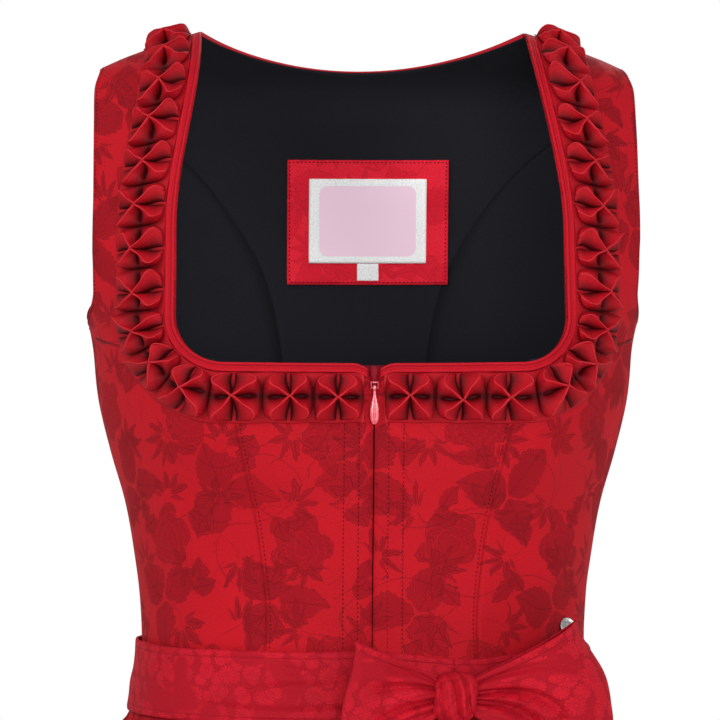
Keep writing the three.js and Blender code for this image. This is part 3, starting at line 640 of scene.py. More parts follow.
# x and height of each end, bend, width and depth of the soft creases of the fronts
left_creases = [
    (-60, -345, -78, -300, 3, 9, 0.9), (-84, -348, -112, -262, -6, 10, 0.8), (-30, -345, -34, -296, 2, 8, 0.6),
    (-140, -178, -112, -214, 5, 9, -1.0), (-146, -150, -120, -168, 3, 8, -0.8), (-132, -196, -104, -206, 2, 8, 0.7),
    (-98, -250, -60, -268, 4, 13, -0.8), (-112, -300, -84, -322, 3, 9, -0.7), (-20, -232, -58, -250, -4, 12, 0.6),
    (-148, -120, -139, -92, 3, 7, 0.7), (-9, -349, -9, -214, 0.6, 1.1, -0.55),
    (-16.6, -349, -16.6, -214, 0.5, 0.9, -0.4),
]
right_creases = [
    (52, -346, 66, -305, 3, 9, 0.8), (92, -346, 112, -280, 5, 10, 0.9), (24, -344, 30, -300, -2, 8, 0.6),
    (142, -176, 108, -204, -6, 9, -1.0), (145, -146, 124, -160, 3, 7, -0.7), (122, -212, 96, -232, 3, 9, 0.6),
    (104, -262, 64, -280, -4, 13, -0.8), (118, -306, 88, -330, 3, 8, -0.7), (18, -226, 52, -246, 5, 12, 0.6),
    (149, -112, 140, -84, -3, 7, 0.7), (9, -349, 9, -214, 0.5, 1.1, -0.55),
    (16.6, -349, 16.6, -214, -0.5, 0.9, -0.4),
]
for side_name, mirror, wrinkles in (("left", -1, left_creases), ("right", 1, right_creases)):
    cloth_piece(f"front_centre_{side_name}", [bodice_cloth, lining_cloth], bodice_thick,
                [(36, 84, panel_place(slit_edge, front_seam_edge, bodice_out, mirror, wrinkles))])
    cloth_piece(f"front_side_{side_name}", [bodice_cloth, lining_cloth], bodice_thick,
                [(54, 170, panel_place(side_front_inner, side_front_outer, bodice_out, mirror, wrinkles))])

# Back panels of the bodice and their lining
# A centre back with both back straps and two side backs, in the same jacquard, each with its own
# near-black cotton lining inside. They are sewn along curved seams that end in the armholes.
back_seam = np.array([
    (36, -350), (38, -290), (40, -235), (43, -182), (54, -132), (73, -99), (101, -66), (128, -47), (150.3, -38.5),
], float)
back_seam_lengths = lengths_along(back_seam)
back_seam_tip, neck_column, neck_share, middle_rise = 0.998, 4 / 7, 0.62, -48
back_neck = -13.0
back_rows_share = 10 / 14
side_back_rows = 0.6
lining_out, lining_thick = 0.8, 1.0


def back_seam_edge(share):
    """x and z of the back princess seam, by its length from the waist."""
    target = -share * back_seam_tip * back_seam_lengths[-1]
    x = smooth_between(-back_seam_lengths, back_seam[:, 0], target)
    z = smooth_between(-back_seam_lengths, back_seam[:, 1], target)
    return x, np.maximum(z, bodice_base)


# The share of the armhole at which the seam ends in it
armhole_z_at_seam = float(back_seam_edge(np.array(1.0))[1])
seam_cosine = (underarm + shoulder_end - 2 * armhole_z_at_seam) / (shoulder_end - underarm)
back_seam_armhole = math.acos(seam_cosine) / math.pi


def side_back_inner(v):
    x, z = back_seam_edge(v)
    return back_angle(x, z), z


def side_back_outer(v):
    low = np.clip(v / side_back_rows, 0, 1)
    above = np.clip((v - side_back_rows) / (1 - side_back_rows), 0, 1)
    z = np.where(v <= side_back_rows, lerp(bodice_base, underarm, low),
                 armhole_height(above * (back_seam_armhole - 0.003)))
    return np.where(v <= side_back_rows, math.pi / 2, back_angle(armhole_side(z), z)), z


def centre_back_place(distance, turn_in, wrinkles=()):
    def place(u, v):
        across, side = np.abs(2 * u - 1), np.where(u < 0.5, -1, 1)
        seam_x, seam_z = back_seam_edge(np.clip(v / back_rows_share, 0, 1))
        above = np.clip((v - back_rows_share) / (1 - back_rows_share), 0, 1)
        low = above <= 0
        tip_x, tip_z = back_seam_edge(np.array(1.0))
        edge_z = np.where(low, seam_z, armhole_height(lerp(back_seam_armhole, 1, above)))
        edge_x = np.where(low, seam_x, lerp(tip_x, armhole_side(edge_z), np.minimum(1, above * 20)))
        share_up = np.clip(v / back_rows_share, 0, 1)
        drop = 0.85 * distance
        middle_z = np.where(low, lerp(bodice_base, middle_rise, share_up**0.85),
                            lerp(middle_rise, back_neck - drop, above))
        low_neck_z = lerp(middle_rise, tip_z, neck_share)
        neck_x = np.where(low, neck_share * edge_x, lerp(neck_share * tip_x, neck_point_x, above))
        strap_z = lerp(low_neck_z, neck_point, 1 - (1 - above) ** 2)
        neck_z = np.where(low, lerp(middle_z, edge_z, neck_share), strap_z)
        inner_x = neck_x * np.sin(np.minimum(across / neck_column, 1) * math.pi / 2)
        inner_z = lerp(middle_z, neck_z, (inner_x / neck_x) ** 2)
        share = np.clip((across - neck_column) / (1 - neck_column), 0, 1)
        outer_z = lerp(neck_z, edge_z, share)
        angle_a, angle_b = back_angle(neck_x, neck_z), back_angle(edge_x, edge_z)
        width = np.linalg.norm(on_form(angle_a, neck_z) - on_form(angle_b, edge_z), axis=-1)
        inset = np.where(low, share * seam_gap / 2 / width, 0)
        inner = across <= neck_column
        angle = np.where(inner, back_angle(inner_x, inner_z), lerp(angle_a, angle_b, share * (1 - inset)))
        z = np.where(inner, inner_z, outer_z)
        angle = np.maximum(angle, math.pi / 2 + 0.003)
        shoulder = (v >= 1) & (across >= neck_column - 1e-6)
        angle = np.where(shoulder, math.pi / 2 - lerp(0.0185, 0.0015, share), angle)
        edge = np.where(inner, 30, (1 - share) * width)
        points = out_from(angle, z, distance + turn_in * hump(edge, 0, 1.3))
        if len(wrinkles):
            points += outward(angle, z) * creases(points[:, 0] * side, z, wrinkles)[:, None]
        points[:, 0] *= side
        return points, cloth_place(angle, z) * np.stack([side, np.ones(len(side))], axis=1), edge + 3

    return place


back_creases = [
    (-30, -345, -22, -280, 3, 9, 0.8), (22, -346, 30, -290, -3, 9, 0.8), (-96, -345, -82, -290, -4, 9, 0.9),
    (92, -345, 84, -286, 5, 9, 0.9), (-40, -300, 0, -310, -3, 8, -0.8), (6, -292, 48, -302, 4, 8, -0.8),
    (-140, -150, -96, -172, 5, 9, -0.9), (141, -148, 98, -176, -5, 9, -0.9), (-120, -92, -78, -118, 4, 9, 0.7),
    (118, -88, 80, -112, -4, 9, 0.7), (-60, -205, -14, -214, 4, 13, 0.6), (18, -196, 66, -208, -4, 13, 0.6),
]
lining_creases = [
    (-70, -200, -30, -215, 3, 14, 0.6), (30, -150, 66, -190, -4, 12, 0.6), (-20, -60, 25, -52, 3, 9, 0.5),
]
back_layers = (
    ("", "bodice_jacquard", bodice_cloth, bodice_thick, bodice_out, 0.8),
    ("lining_", "dark_lining", lining_cloth, lining_thick, lining_out, -0.45),
)
for (layer, slot, cloth, thickness, distance, turn_in), wrinkles, columns, rows in zip(
    back_layers, (back_creases, lining_creases), (84, 56), (112, 84)
):
    cloth_piece(layer + "back_centre", [cloth], thickness,
                [(columns, rows, centre_back_place(distance, -turn_in, wrinkles))])
for side_name, mirror in sides:
    for (layer, slot, cloth, thickness, distance, turn_in), wrinkles, columns, rows in zip(
        back_layers, (back_creases, ()), (40, 24), (100, 60)
    ):
        place = panel_place(side_back_inner, side_back_outer, distance, mirror, wrinkles, turn_in)
        cloth_piece(f"{layer}back_side_{side_name}", [cloth], thickness, [(columns, rows, place)])

# Binding of the neckline
# A narrow strip of the red cloth folded over the cut edge and sewn through twice, along both fronts
# from the zip to the shoulder and round the back neck, where it also covers the edge of the lining.
ruche_units, ruche_middle, ruche_seat, ruche_start = 14, 18, 3.4, 5.4
binding_start, binding_width, binding_out = 3.2, 5.0, 4.5
top_heights = np.linspace(-30, 3, 331)
top_sides = section(top_heights)[0]


def shoulder_height(x):
    return np.interp(-x, -top_sides, top_heights)


def neckline_stretch(place, distance, start_x):
    """x and z beside the neckline: stretch 0 to 1 is its bottom, 1 to 2 the corner, 2 to 3 the strap."""
    corner_x, corner_z = neckline_x - neckline_corner, neckline + neckline_corner
    turn, radius = np.clip(place - 1, 0, 1) * math.pi / 2, neckline_corner + distance
    up = np.clip(place - 2, 0, 1)
    strap_z = lerp(corner_z, shoulder_height(neck_point_x + distance), 1 - (1 - up) ** 2)
    x = np.where(place < 1, lerp(start_x, corner_x, place),
                 np.where(place < 2, corner_x + radius * np.sin(turn), strap_edge(strap_z) + distance))
    past_bottom_z = np.where(place < 2, corner_z - radius * np.cos(turn), strap_z)
    z = np.where(place < 1, neckline - distance, past_bottom_z)
    return x, z


neckline_places = np.linspace(0, 3, 601)
walk_x, walk_z = neckline_stretch(neckline_places, ruche_middle, ruche_start)
walk = on_form(front_angle(walk_x, walk_z), walk_z)
neckline_lengths = lengths_along(walk)
ruche_length = neckline_lengths[-1]


def beside_neckline(length, distance, height, start_x):
    """Points at a length along the middle of the ruche, a distance out from the neck edge."""
    place = np.interp(length, neckline_lengths, neckline_places)
    x, z = neckline_stretch(place, distance, start_x)
    return out_from(np.minimum(front_angle(x, z), math.pi / 2 - 0.003), z, height)


def front_binding_place(mirror):
    def place(u, v):
        distance = lerp(binding_width, 0.1, v)
        rounded = 1.4 * (1 - v**0.6) + 2.6 * smoothstep(v, 0.9, 1) ** 2
        grooves = 0.3 * hump(distance, 1.9, 0.3) + 0.6 * hump(distance, 3.3, 0.3)
        height = binding_out + 0.15 - 0.35 * rounded - grooves
        ripple = 0.12 * np.sin(u * 150) * np.sin(u * 41)
        points = beside_neckline(u * ruche_length, distance, height + ripple, binding_start)
        near_zip = np.clip(1 - (points[:, 0] - binding_start) / 8, 0, 1)
        points[:, 2] -= 3.0 * near_zip**1.7 + 4.2 * smoothstep(u, 0.955, 1)
        points[:, 0] *= mirror
        return points, np.stack([u * ruche_length, v * 6], axis=-1), distance + 3

    return place


binding_cloth = cloth_material("red_binding", (0.44, 0.004, 0.0135), line_colour=line_red, rough=0.6,
                               thread=0.4, hem=4.9)
for side_name, mirror in sides:
    cloth_piece(f"binding_front_{side_name}", [binding_cloth], 0.8,
                [(260, 18, front_binding_place(mirror))])


def back_neck_edge(place, distance, lower):
    """The back neck's edge at a distance out from the form, where each layer is cut level with the lining."""
    x = neck_point_x * np.sin(np.minimum(np.abs(place), 1) * math.pi / 2)
    share = (x / neck_point_x) ** 2
    z = lerp(back_neck - 0.85 * distance, neck_point, share) - lower
    points = out_from(np.maximum(back_angle(x, z), math.pi / 2 + 0.003), z, distance)
    points[:, 0] *= np.where(place < 0, -1, 1)
    return points


def back_binding_place(u, v):
    """The strip goes up outside the cloth and over all its layers to the lining."""
    place = 2 * u - 1
    over = np.clip((v - 0.4) / 0.6, 0, 1)
    lower = 2.6 * (1 - np.minimum(v / 0.4, 1))
    groove = 0.3 * hump(lower, 1.5, 0.35)
    outside = back_neck_edge(place, bodice_out + 0.35 - groove, lower)
    inside = back_neck_edge(place, np.full(len(u), lining_out - 0.35), lower * 0)
    points = lerp(outside, inside, over[:, None])
    points[:, 2] += 0.8 * np.sin(math.pi * over) ** 0.7
    return points, np.stack([u * 240, v * 11], axis=-1), np.full(len(u), 9.0)


cloth_piece("binding_back", [binding_cloth], 0.4, [(160, 22, back_binding_place)])

# Ruche
# A doubled strip of the bodice's cloth laid in box pleats and sewn down between them. The two folded
# edges of each pleat are pinched together over its middle, which opens a pocket above and below.
# The ruche's cloth has painted shade deep in its valleys, slits and pockets, and a painted highlight along its
# folded edges.
ruche_cloth = cloth_material("ruche_satin", (0.335, 0.0022, 0.008), rough=0.58, thread=0.6, sheen=0.08,
                             painted_highlight_colour=(0.58, 0.024, 0.036), painted_shade_colour=(0.045, 0.0, 0.001))
# The pleats are laid closer together on the strap than along the front
unit_widths = lerp(1.0, 0.84, smoothstep(np.arange(ruche_units), 2.5, 5.5))
unit_widths *= ruche_length / unit_widths.sum()
unit_middles = np.cumsum(unit_widths) - unit_widths / 2
# By share of the way from the pinch to the rim: along the strip, across it, height
pinched_edge = np.array([
    (0.0, 0.0, -0.5, 9.6), (0.18, 1.9, 1.9, 8.9), (0.42, 4.9, 5.4, 8.0), (0.68, 8.3, 8.6, 7.0),
    (0.86, 9.9, 11.0, 5.2), (1.0, 9.2, 12.4, 1.2),
], float)
curled_edge = np.array([
    (0.0, 0.0, -0.5, 9.6), (0.18, 2.2, 1.6, 9.0), (0.42, 6.0, 4.6, 8.6), (0.68, 9.9, 7.2, 8.0),
    (0.86, 8.2, 10.2, 6.6), (1.0, 2.2, 12.4, 2.2),
], float)
pleat_valley = np.array([
    (0.0, 0.05, 0, 8.2), (0.1, 1.4, 0, 3.6), (0.25, 3.4, 0, 0.9), (0.55, 6.8, 0, 1.2), (0.8, 9.8, 0, 2.9),
    (0.92, 11.3, 0, 2.6), (1.0, 12.15, 0, 1.2),
], float)
chance = np.random.default_rng(34)


def table_at(table, share):
    return [smooth_between(-table[:, 0], table[:, column], -share) for column in (1, 2, 3)]


def folded_edge(share, curl, opening):
    """One folded edge, straight to the rim or curled back towards the pinch."""
    tables = table_at(pinched_edge, share), table_at(curled_edge, share)
    along, across, height = (lerp(straight, curled, curl) for straight, curled in zip(*tables))
    swell = opening * smoothstep(share, 0.1, 0.6) * (1 - smoothstep(share, 0.8, 1))
    return along * (1 + 0.13 * swell), across * (1 + 0.05 * swell), height + 0.8 * swell


def lay_pleat(unit, mirror, uneven, along, across, height, share):
    """Moves and turns the pinch of one pleat and lays its points beside the neckline."""
    near = (1 - share) ** 1.6
    along, across = along + 1.4 * uneven[4] * near, across + 1.4 * uneven[5] * near
    turn = 0.16 * uneven[6] * (1 - share**3)
    along, across = along - across * turn, across + along * turn
    points = beside_neckline(unit_middles[unit] + along * unit_widths[unit] / 24.3, ruche_middle - across,
                             ruche_seat + height, ruche_start)
    points[:, 0] *= mirror
    return points, np.stack([along, across], axis=-1)


def pleat_place(unit, mirror, uneven, curls):
    """The pinched upper cloth of one pleat: u runs along the strip, v across it."""
    def place(u, v):
        s, t = 2 * u - 1, 2 * v - 1
        share, away = np.abs(s), np.abs(t) ** 1.5
        corner = 2 * (s > 0) + (t > 0)
        edge_along, edge_across, edge_height = folded_edge(share, curls[corner], uneven[corner])
        valley_along, _, valley_height = table_at(pleat_valley, share)
        bend = smoothstep(share, 0.6, 1)
        along = np.sign(s) * lerp(valley_along, edge_along, away ** lerp(0.9, 3.2, bend))
        across = np.sign(t) * edge_across * lerp(away, 1 - (1 - away) ** 1.8, bend)
        full = np.sin(math.pi * away) * smoothstep(share, 0.2, 0.7) * (1 - smoothstep(share, 0.85, 1))
        height = lerp(valley_height, edge_height, away ** lerp(1.0, 0.9, share)) + 0.8 * full
        height = height - 2.8 * hump(away, 0, 0.1) * (1 - smoothstep(share, 0.55, 0.85))
        # The edge value: 0 at the folded edges for a painted highlight, about 12 in the valley for painted shade, a
        # little less towards the rim.
        depth = (1 - away) * 12 * (1 - 0.12 * smoothstep(share, 0.5, 0.75))
        return *lay_pleat(unit, mirror, uneven, along, across, height, share), depth

    return place


def pocket_place(unit, mirror, uneven, curls, side):
    """The cloth between two folded edges on one side of the pinch, which runs down into a slit."""
    def place(u, v):
        s = (2 * u - 1) * side
        share, away = lerp(0.03, 1, v), np.abs(s) ** 1.5
        corner = 2 * (s > 0) + (side > 0)
        edge_along, edge_across, edge_height = folded_edge(share, curls[corner], uneven[corner])
        slit_height = -0.6 + 7.6 * (1 - smoothstep(share, 0, 0.22))
        slit = uneven[4] * 0.8 + 1.2 * uneven[5] * share
        along = np.sign(s) * edge_along * away + slit * (1 - away)
        across = side * lerp(lerp(0.2, 12.2, share), edge_across, away)
        height = lerp(slit_height + 2.0, edge_height - 0.5, away**0.9) - 2.8 * hump(away, 0, 0.09)
        # The edge value: 0 at the folded edges for a painted highlight, 12 at the slit for painted shade.
        return *lay_pleat(unit, mirror, uneven, along, across, height, share), (1 - away) * 12

    return place


strip_outer, strip_inner = 13.6, 12.9


def strip_place(mirror):
    """The flat edges of the strip, which show beside the pleats."""
    def place(u, v):
        across = lerp(-strip_outer, strip_inner, v) + 0.25 * np.sin(u * 95)
        points = beside_neckline(u * ruche_length, ruche_middle - across, ruche_seat + 0.5, ruche_start)
        points[:, 0] *= mirror
        # The strip's middle, under the pleats, gets painted shade, and the very ends of the strip a painted
        # highlight.
        edge = (np.minimum(across + strip_outer, strip_inner - across) + 2) * smoothstep(u, 0.002, 0.012)
        return points, np.stack([u * ruche_length, across], axis=-1), edge

    return place


for side_name, mirror in sides:
    grids = [(240, 8, strip_place(mirror))]
    for unit in range(ruche_units):
        uneven = np.clip(chance.normal(0, 0.7, 7), -1.4, 1.4)
        curls = np.clip([0.45, 0.8, 0.45, 0.8] + chance.normal(0, 0.3, 4), 0, 1)
        grids.append((20, 12, pleat_place(unit, mirror, uneven, curls)))
        grids += [(12, 7, pocket_place(unit, mirror, uneven, curls, side)) for side in (-1, 1)]
    cloth_piece(f"ruche_{side_name}", [ruche_cloth], 0.7, grids, levels=1)

# Stitching
# Lockstitch in red thread that sinks into the cloth: along the princess seams, in pairs beside the
# zip, round the armholes and round the patch in the back neck.
thread_material = cloth_material("red_thread", (0.08, 0.0008, 0.003), rough=0.7, thread=0.2)


def small_bead(bm, place, size):
    """A rounded bead of a few faces, for a stitch or a tooth."""
    matrix = Matrix.Scale(mm, 4) @ place @ Matrix.Diagonal((*size, 1))
    bmesh.ops.create_icosphere(bm, subdivisions=1, radius=1, matrix=matrix)


def stitch_row(bm, points, normals, length=1.4, space=1.0, half_width=0.36):
    """Stitches of one length along a line of points, each a small rounded bar lying on the cloth."""
    along = lengths_along(points)
    for number in range(int(along[-1] / (length + space))):
        middle = (number + 0.5) * (length + space)
        here, ahead, normal = (
            Vector([float(np.interp(at, along, values[:, axis])) for axis in range(3)])
            for at, values in ((middle, points), (middle + 0.5, points), (middle, normals))
        )
        forward = (ahead - here).normalized()
        sideways = normal.cross(forward).normalized()
        turn = Matrix((forward, sideways, normal)).transposed().to_4x4()
        small_bead(bm, Matrix.Translation(here) @ turn, (length / 2, half_width, half_width * 0.7))


def beside(points, normals, distance):
    """The same line moved sideways on the cloth."""
    tangents = np.gradient(points, axis=0)
    sideways = np.cross(normals, tangents)
    return points + sideways / np.linalg.norm(sideways, axis=1, keepdims=True) * distance


def sew(name, rows):
    bm = bmesh.new()
    for points, normals in rows:
        stitch_row(bm, points, normals)
    new_piece(bm, name, [thread_material])


def mirrored(points, normals, mirror):
    return points * (mirror, 1, 1), normals * (mirror, 1, 1)


walk_share = np.linspace(0, 1, 160)
for side_name, mirror, wrinkles in (("left", -1, left_creases), ("right", 1, right_creases)):
    seam_angle, seam_z = front_seam_edge(walk_share * 0.86 + 0.005)
    channel_z = lerp(-349, -213, walk_share)
    lines = [(seam_angle - 0.020, seam_z)]
    lines += [(front_angle(np.full(len(channel_z), x), channel_z), channel_z) for x in (8.0, 16.0)]
    rows = []
    for angle, z in lines:
        points, normals = out_from(angle, z, bodice_out + 0.05), outward(angle, z)
        lift = creases(points[:, 0] * mirror, z, wrinkles)[:, None]
        rows.append(mirrored(points + normals * lift, normals, mirror))
    for angle_of, inside in ((front_angle, 2.2), (back_angle, -2.2)):
        z = armhole_height(walk_share * 0.985 + 0.005)
        angle = angle_of(armhole_side(z), z)
        normals = outward(angle, z)
        rows.append(mirrored(beside(out_from(angle, z, bodice_out), normals, inside), normals, mirror))
    sew(f"stitching_{side_name}", rows)

# Zip
# Two woven tapes behind the slit with a row of coil teeth on each, closed to the top by a small
# lacquered slider. Its drop-shaped pull hangs from the bar between the slider's two ears.
tape_width, tape_out, tape_thick = 12, 0.6, 0.9
tape_cloth = cloth_material("zip_tape", (0.13, 0.003, 0.011), rough=0.8, thread=0.5)
tooth_material = cloth_material("zip_teeth", (0.05, 0.003, 0.007), rough=0.4, thread=0.3)


def tape_edge(x):
    return lambda v: edge_at(np.full(len(v), float(x)), lerp(bodice_base, neckline - 1, v))


for side_name, mirror in sides:
    cloth_piece(f"zip_tape_{side_name}", [tape_cloth], tape_thick,
                [(8, 60, panel_place(tape_edge(0.2), tape_edge(tape_width), tape_out, mirror, turn_in=0))])

tooth_pitch = 1.3
bm = bmesh.new()
for number in range(int((neckline - 8 - waist) / tooth_pitch)):
    for mirror in (-1, 1):
        z = waist + 2 + tooth_pitch * (number + 0.25 * mirror)
        seat = out_from(np.array(0.004 * mirror), np.array(z), tape_out + 0.45)
        small_bead(bm, Matrix.Translation(Vector(seat) + Vector((0.35 * mirror, 0, 0))), (0.85, 0.55, 0.42))
new_piece(bm, "zip_teeth", [tooth_material])


def metal_material(name, low_colour, high_colour, cloud, rough, relief, **sockets):
    """Lacquer or bare metal with a fine cloudy change of colour and gloss and slight unevenness."""
    material, tree, shader = new_material(name)
    scale, detail, soft = cloud
    solid = new_node(tree, "ShaderNodeTexCoord").outputs["Object"]
    amount = Amount(tree, noise(tree, solid, scale, detail).outputs["Fac"])
    colour = mixed(tree, amount.over(0.5, soft), low_colour, high_colour)
    finish_surface(tree, shader, colour, amount * rough[0] + rough[1], amount, relief, 0.1 * mm)
    for socket, value in sockets.items():
        shader.inputs[socket.replace("_", " ")].default_value = value
    return material


# Three red lacquers: a light one for the pull, a dark one for the slider's top and a mid one for its ears and bar.
enamel, dark_enamel, mid_enamel = (
    metal_material(name, low, high, (420.0, 3.0, 0.5), (0.14, rough), 0.15, Metallic=0.2, Coat_Weight=coat,
                   Specular_IOR_Level=0.1 + 0.8 * coat, Coat_Roughness=0.08)
    for name, low, high, rough, coat in (
        ("zip_enamel", (0.5, 0.035, 0.055), (0.72, 0.14, 0.17), 0.2, 0.5),
        ("zip_dark_enamel", (0.13, 0.002, 0.008), (0.21, 0.005, 0.014), 0.55, 0.0),
        ("zip_mid_enamel", (0.34, 0.02, 0.035), (0.5, 0.055, 0.075), 0.3, 0.25),
    )
)
slider_high, pull_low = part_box("zip_slider")[1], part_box("zip_pull")[0]
hinge = Vector(frame["joints"][0]["pos_m"])
slider_half, ear, bar_radius = 2.1 * mm, 0.55 * mm, 0.5 * mm
plate_back, plate_front = slider_high.y, slider_high.y - 1.8 * mm
slider_bottom = slider_high.z - 10 * mm


def rounded_box(bm, low, high, bevel, narrow=1.0):
    """A box with rounded edges whose lower end is narrower."""
    low, high = Vector(low), Vector(high)
    place = Matrix.Translation((low + high) / 2) @ Matrix.Diagonal((*(high - low), 1))
    made = bmesh.ops.create_cube(bm, size=1, matrix=place)["verts"]
    for vert in made:
        if vert.co.z < (low.z + high.z) / 2:
            vert.co.x *= narrow
    edges = {edge for vert in made for edge in vert.link_edges}
    bmesh.ops.bevel(bm, geom=list(edges), offset=bevel, segments=3, profile=0.5, affect="EDGES", material=-1)


def metal_piece(bm, name, body, node, materials, smooth_angle=40):
    bmesh.ops.recalc_face_normals(bm, faces=bm.faces)
    piece = new_piece(bm, name, materials, body)
    piece.data.set_sharp_from_angle(angle=math.radians(smooth_angle))
    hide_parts(node)
    return piece


bm = bmesh.new()
rounded_box(bm, (-slider_half * 0.82, plate_front, slider_bottom),
            (slider_half * 0.82, plate_back, slider_high.z), 0.6 * mm, 0.8)
rounded_box(bm, (-slider_half, plate_front + 0.5 * mm, slider_high.z - 5.5 * mm),
            (slider_half, plate_back, slider_high.z - 0.8 * mm), 0.4 * mm, 0.9)
for sign in (-1, 1):
    low_x, high_x = sorted((sign * slider_half, sign * (slider_half - ear)))
    rounded_box(bm, (low_x, hinge.y - 1 * mm, hinge.z - 1 * mm),
                (high_x, plate_back - 0.3 * mm, slider_bottom + 1.6 * mm), 0.22 * mm)
rounded_box(bm, (-slider_half, hinge.y - 0.35 * mm, slider_bottom + 0.6 * mm),
            (slider_half, hinge.y + 0.6 * mm, slider_bottom + 1.5 * mm), 0.22 * mm)
along_x = Matrix.Translation(hinge) @ Matrix.Rotation(math.pi / 2, 4, "Y")
bmesh.ops.create_cone(bm, cap_ends=True, segments=20, radius1=bar_radius, radius2=bar_radius,
                      depth=2 * slider_half - 0.2 * mm, matrix=along_x)
slider = metal_piece(bm, "slider", "garment", "zip_slider", [mid_enamel, dark_enamel])
for face in slider.data.polygons:
    face.material_index = int(face.center.z > slider_bottom + 2 * mm)

# The pull: an eye round the bar, and below it a drop with two shallow flutes on each face
pull_half, pull_thick, eye_inner, eye_outer = 2.45, 1.5, 0.9, 1.5
bm = bmesh.new()
ring_profile = [
    bm.verts.new(hinge + Vector((x, 0, radius)) * mm)
    for x, radius in ((-1.0, eye_inner), (-0.6, eye_outer), (0.6, eye_outer), (1.0, eye_inner))
]
ring_edges = [bm.edges.new((ring_profile[i], ring_profile[(i + 1) % 4])) for i in range(4)]
bmesh.ops.spin(bm, geom=ring_profile + ring_edges, cent=hinge, axis=(1, 0, 0), angle=2 * math.pi, steps=24,
               use_merge=True)
drop = bmesh.ops.create_uvsphere(bm, u_segments=40, v_segments=28, radius=1)["verts"]
drop_top, drop_bottom = hinge.z - 1.2 * mm, pull_low.z - 3.0 * mm
for vert in drop:
    down = (1 - vert.co.z) / 2
    round_x, round_y = vert.co.x, vert.co.y
    across = math.hypot(round_x, round_y) or 1
    swell = lerp(0.72, pull_half, float(smoothstep(np.array(down), 0.06, 0.6)))
    swell *= math.sqrt(max(0.0, 1 - max(0.0, (down - 0.66) / 0.34) ** 2.4)) * min(1.0, (down / 0.03) ** 0.5)
    flute = 0.16 * math.cos(round_x / across * 9) * math.sin(math.pi * down)
    depth = (0.5 + 0.38 * math.sin(math.pi * min(1, down * 1.15))) * pull_thick / 1.5
    depth *= math.sqrt(max(0.0, 1 - max(0.0, (down - 0.8) / 0.2) ** 2.2)) * min(1.0, (down / 0.02) ** 0.5)
    vert.co = (
        round_x / across * swell * mm,
        hinge.y + round_y / across * (depth + flute * abs(round_y / across)) * mm,
        lerp(drop_top, drop_bottom, down),
    )
metal_piece(bm, "pull", "zip_pull", "zip_pull", [enamel], 50)

# Labels in the back neck
# A patch of the bodice's jacquard sewn on the lining with its edges turned under, a white woven label
# with a pale pink field on it, and a small white tag folded under its lower edge. All are left bare.
patch_box, label_box, tag_box = (-40.5, 55.5, -137, -63), (-27.5, 42.5, -124, -74), (1.5, 14, -134.5, -124.6)


def patch_place(box, distance, ripple):
    left, right, bottom, top = box

    def place(u, v):
        x, z = lerp(left, right, u), lerp(bottom, top, v)
        edge = np.minimum(np.minimum(u, 1 - u) * (right - left), np.minimum(v, 1 - v) * (top - bottom))
        soft = ripple * np.sin(u * 7 + 0.6) * np.sin(v * 5 + 1)
        lift = distance + 0.35 * hump(edge, 0, 0.7) + soft
        cloth = np.stack([x - (left + right) / 2, z - (bottom + top) / 2], axis=-1)
        return out_from(back_angle(x, z), z, lift), cloth, edge

    return place


def label_material():
    """Fine white woven satin with a pale pink field that has rounded corners."""
    material = cloth_material("woven_label", (0.98, 0.98, 0.98), thread=0.3, rough=0.45, sheen=0.1)
    tree = material.node_tree
    shader = tree.nodes["Principled BSDF"]
    woven = shader.inputs["Base Color"].links[0].from_socket
    place = new_node(tree, "ShaderNodeUVMap", uv_map="cloth").outputs[0]
    flat_x, flat_y = split(tree, place)
    field_x, field_y, corner = 29.0, 21.0, 5.0
    gap_x = ((flat_x * 1000).abs() - (field_x - corner)).sum("MAXIMUM", 0)
    gap_y = ((flat_y * 1000).abs() - (field_y - corner)).sum("MAXIMUM", 0)
    beyond = (gap_x * gap_x + gap_y * gap_y).sum("SQRT") - corner
    field = beyond.under(0, 0.3)
    tree.links.new(mixed(tree, field, woven, (0.98, 0.7, 0.84)), shader.inputs["Base Color"])
    return material


white_weave = cloth_material("size_tag", (0.9, 0.9, 0.91), thread=0.3, rough=0.5, sheen=0.1)
# Painted light: the patch is the bodice's jacquard, but its colours are about twice as light as the bodice's, for
# light that the inside of the back neck does not get.
patch_cloth_painted_light = cloth_material("patch_jacquard_painted_light", (0.78, 0.0145, 0.036), (0.66, 0.011, 0.03),
                             (0.52, 0.008, 0.021), figure=rose_figure)
for node, box, distance, ripple, cloth, slot, flat in (
    ("label_patch", patch_box, -1.2, 0.15, patch_cloth_painted_light, "bodice_jacquard", (0.098, 0.076)),
    ("label", label_box, -2.7, 0.2, label_material(), "woven_label", (0.072, 0.052)),
    ("size_tag", tag_box, -2.7, 0.1, white_weave, "woven_label", (0.0125, 0.012)),
):
    cloth_piece(node, [cloth], 0.9, [(48, 36, patch_place(box, distance, ripple))])


def patch_row(box, inside, distance):
    left, right, bottom, top = box[0] + inside, box[1] - inside, box[2] + inside, box[3] - inside
    corners = [(left, bottom), (right, bottom), (right, top), (left, top), (left, bottom)]
    x, z = np.concatenate([np.linspace(a, b, 30) for a, b in zip(corners, corners[1:])]).T
    angle = back_angle(x, z)
    return out_from(angle, z, distance), -outward(angle, z)


sew("stitching_patch", [patch_row(patch_box, 1.3, -2.15)])

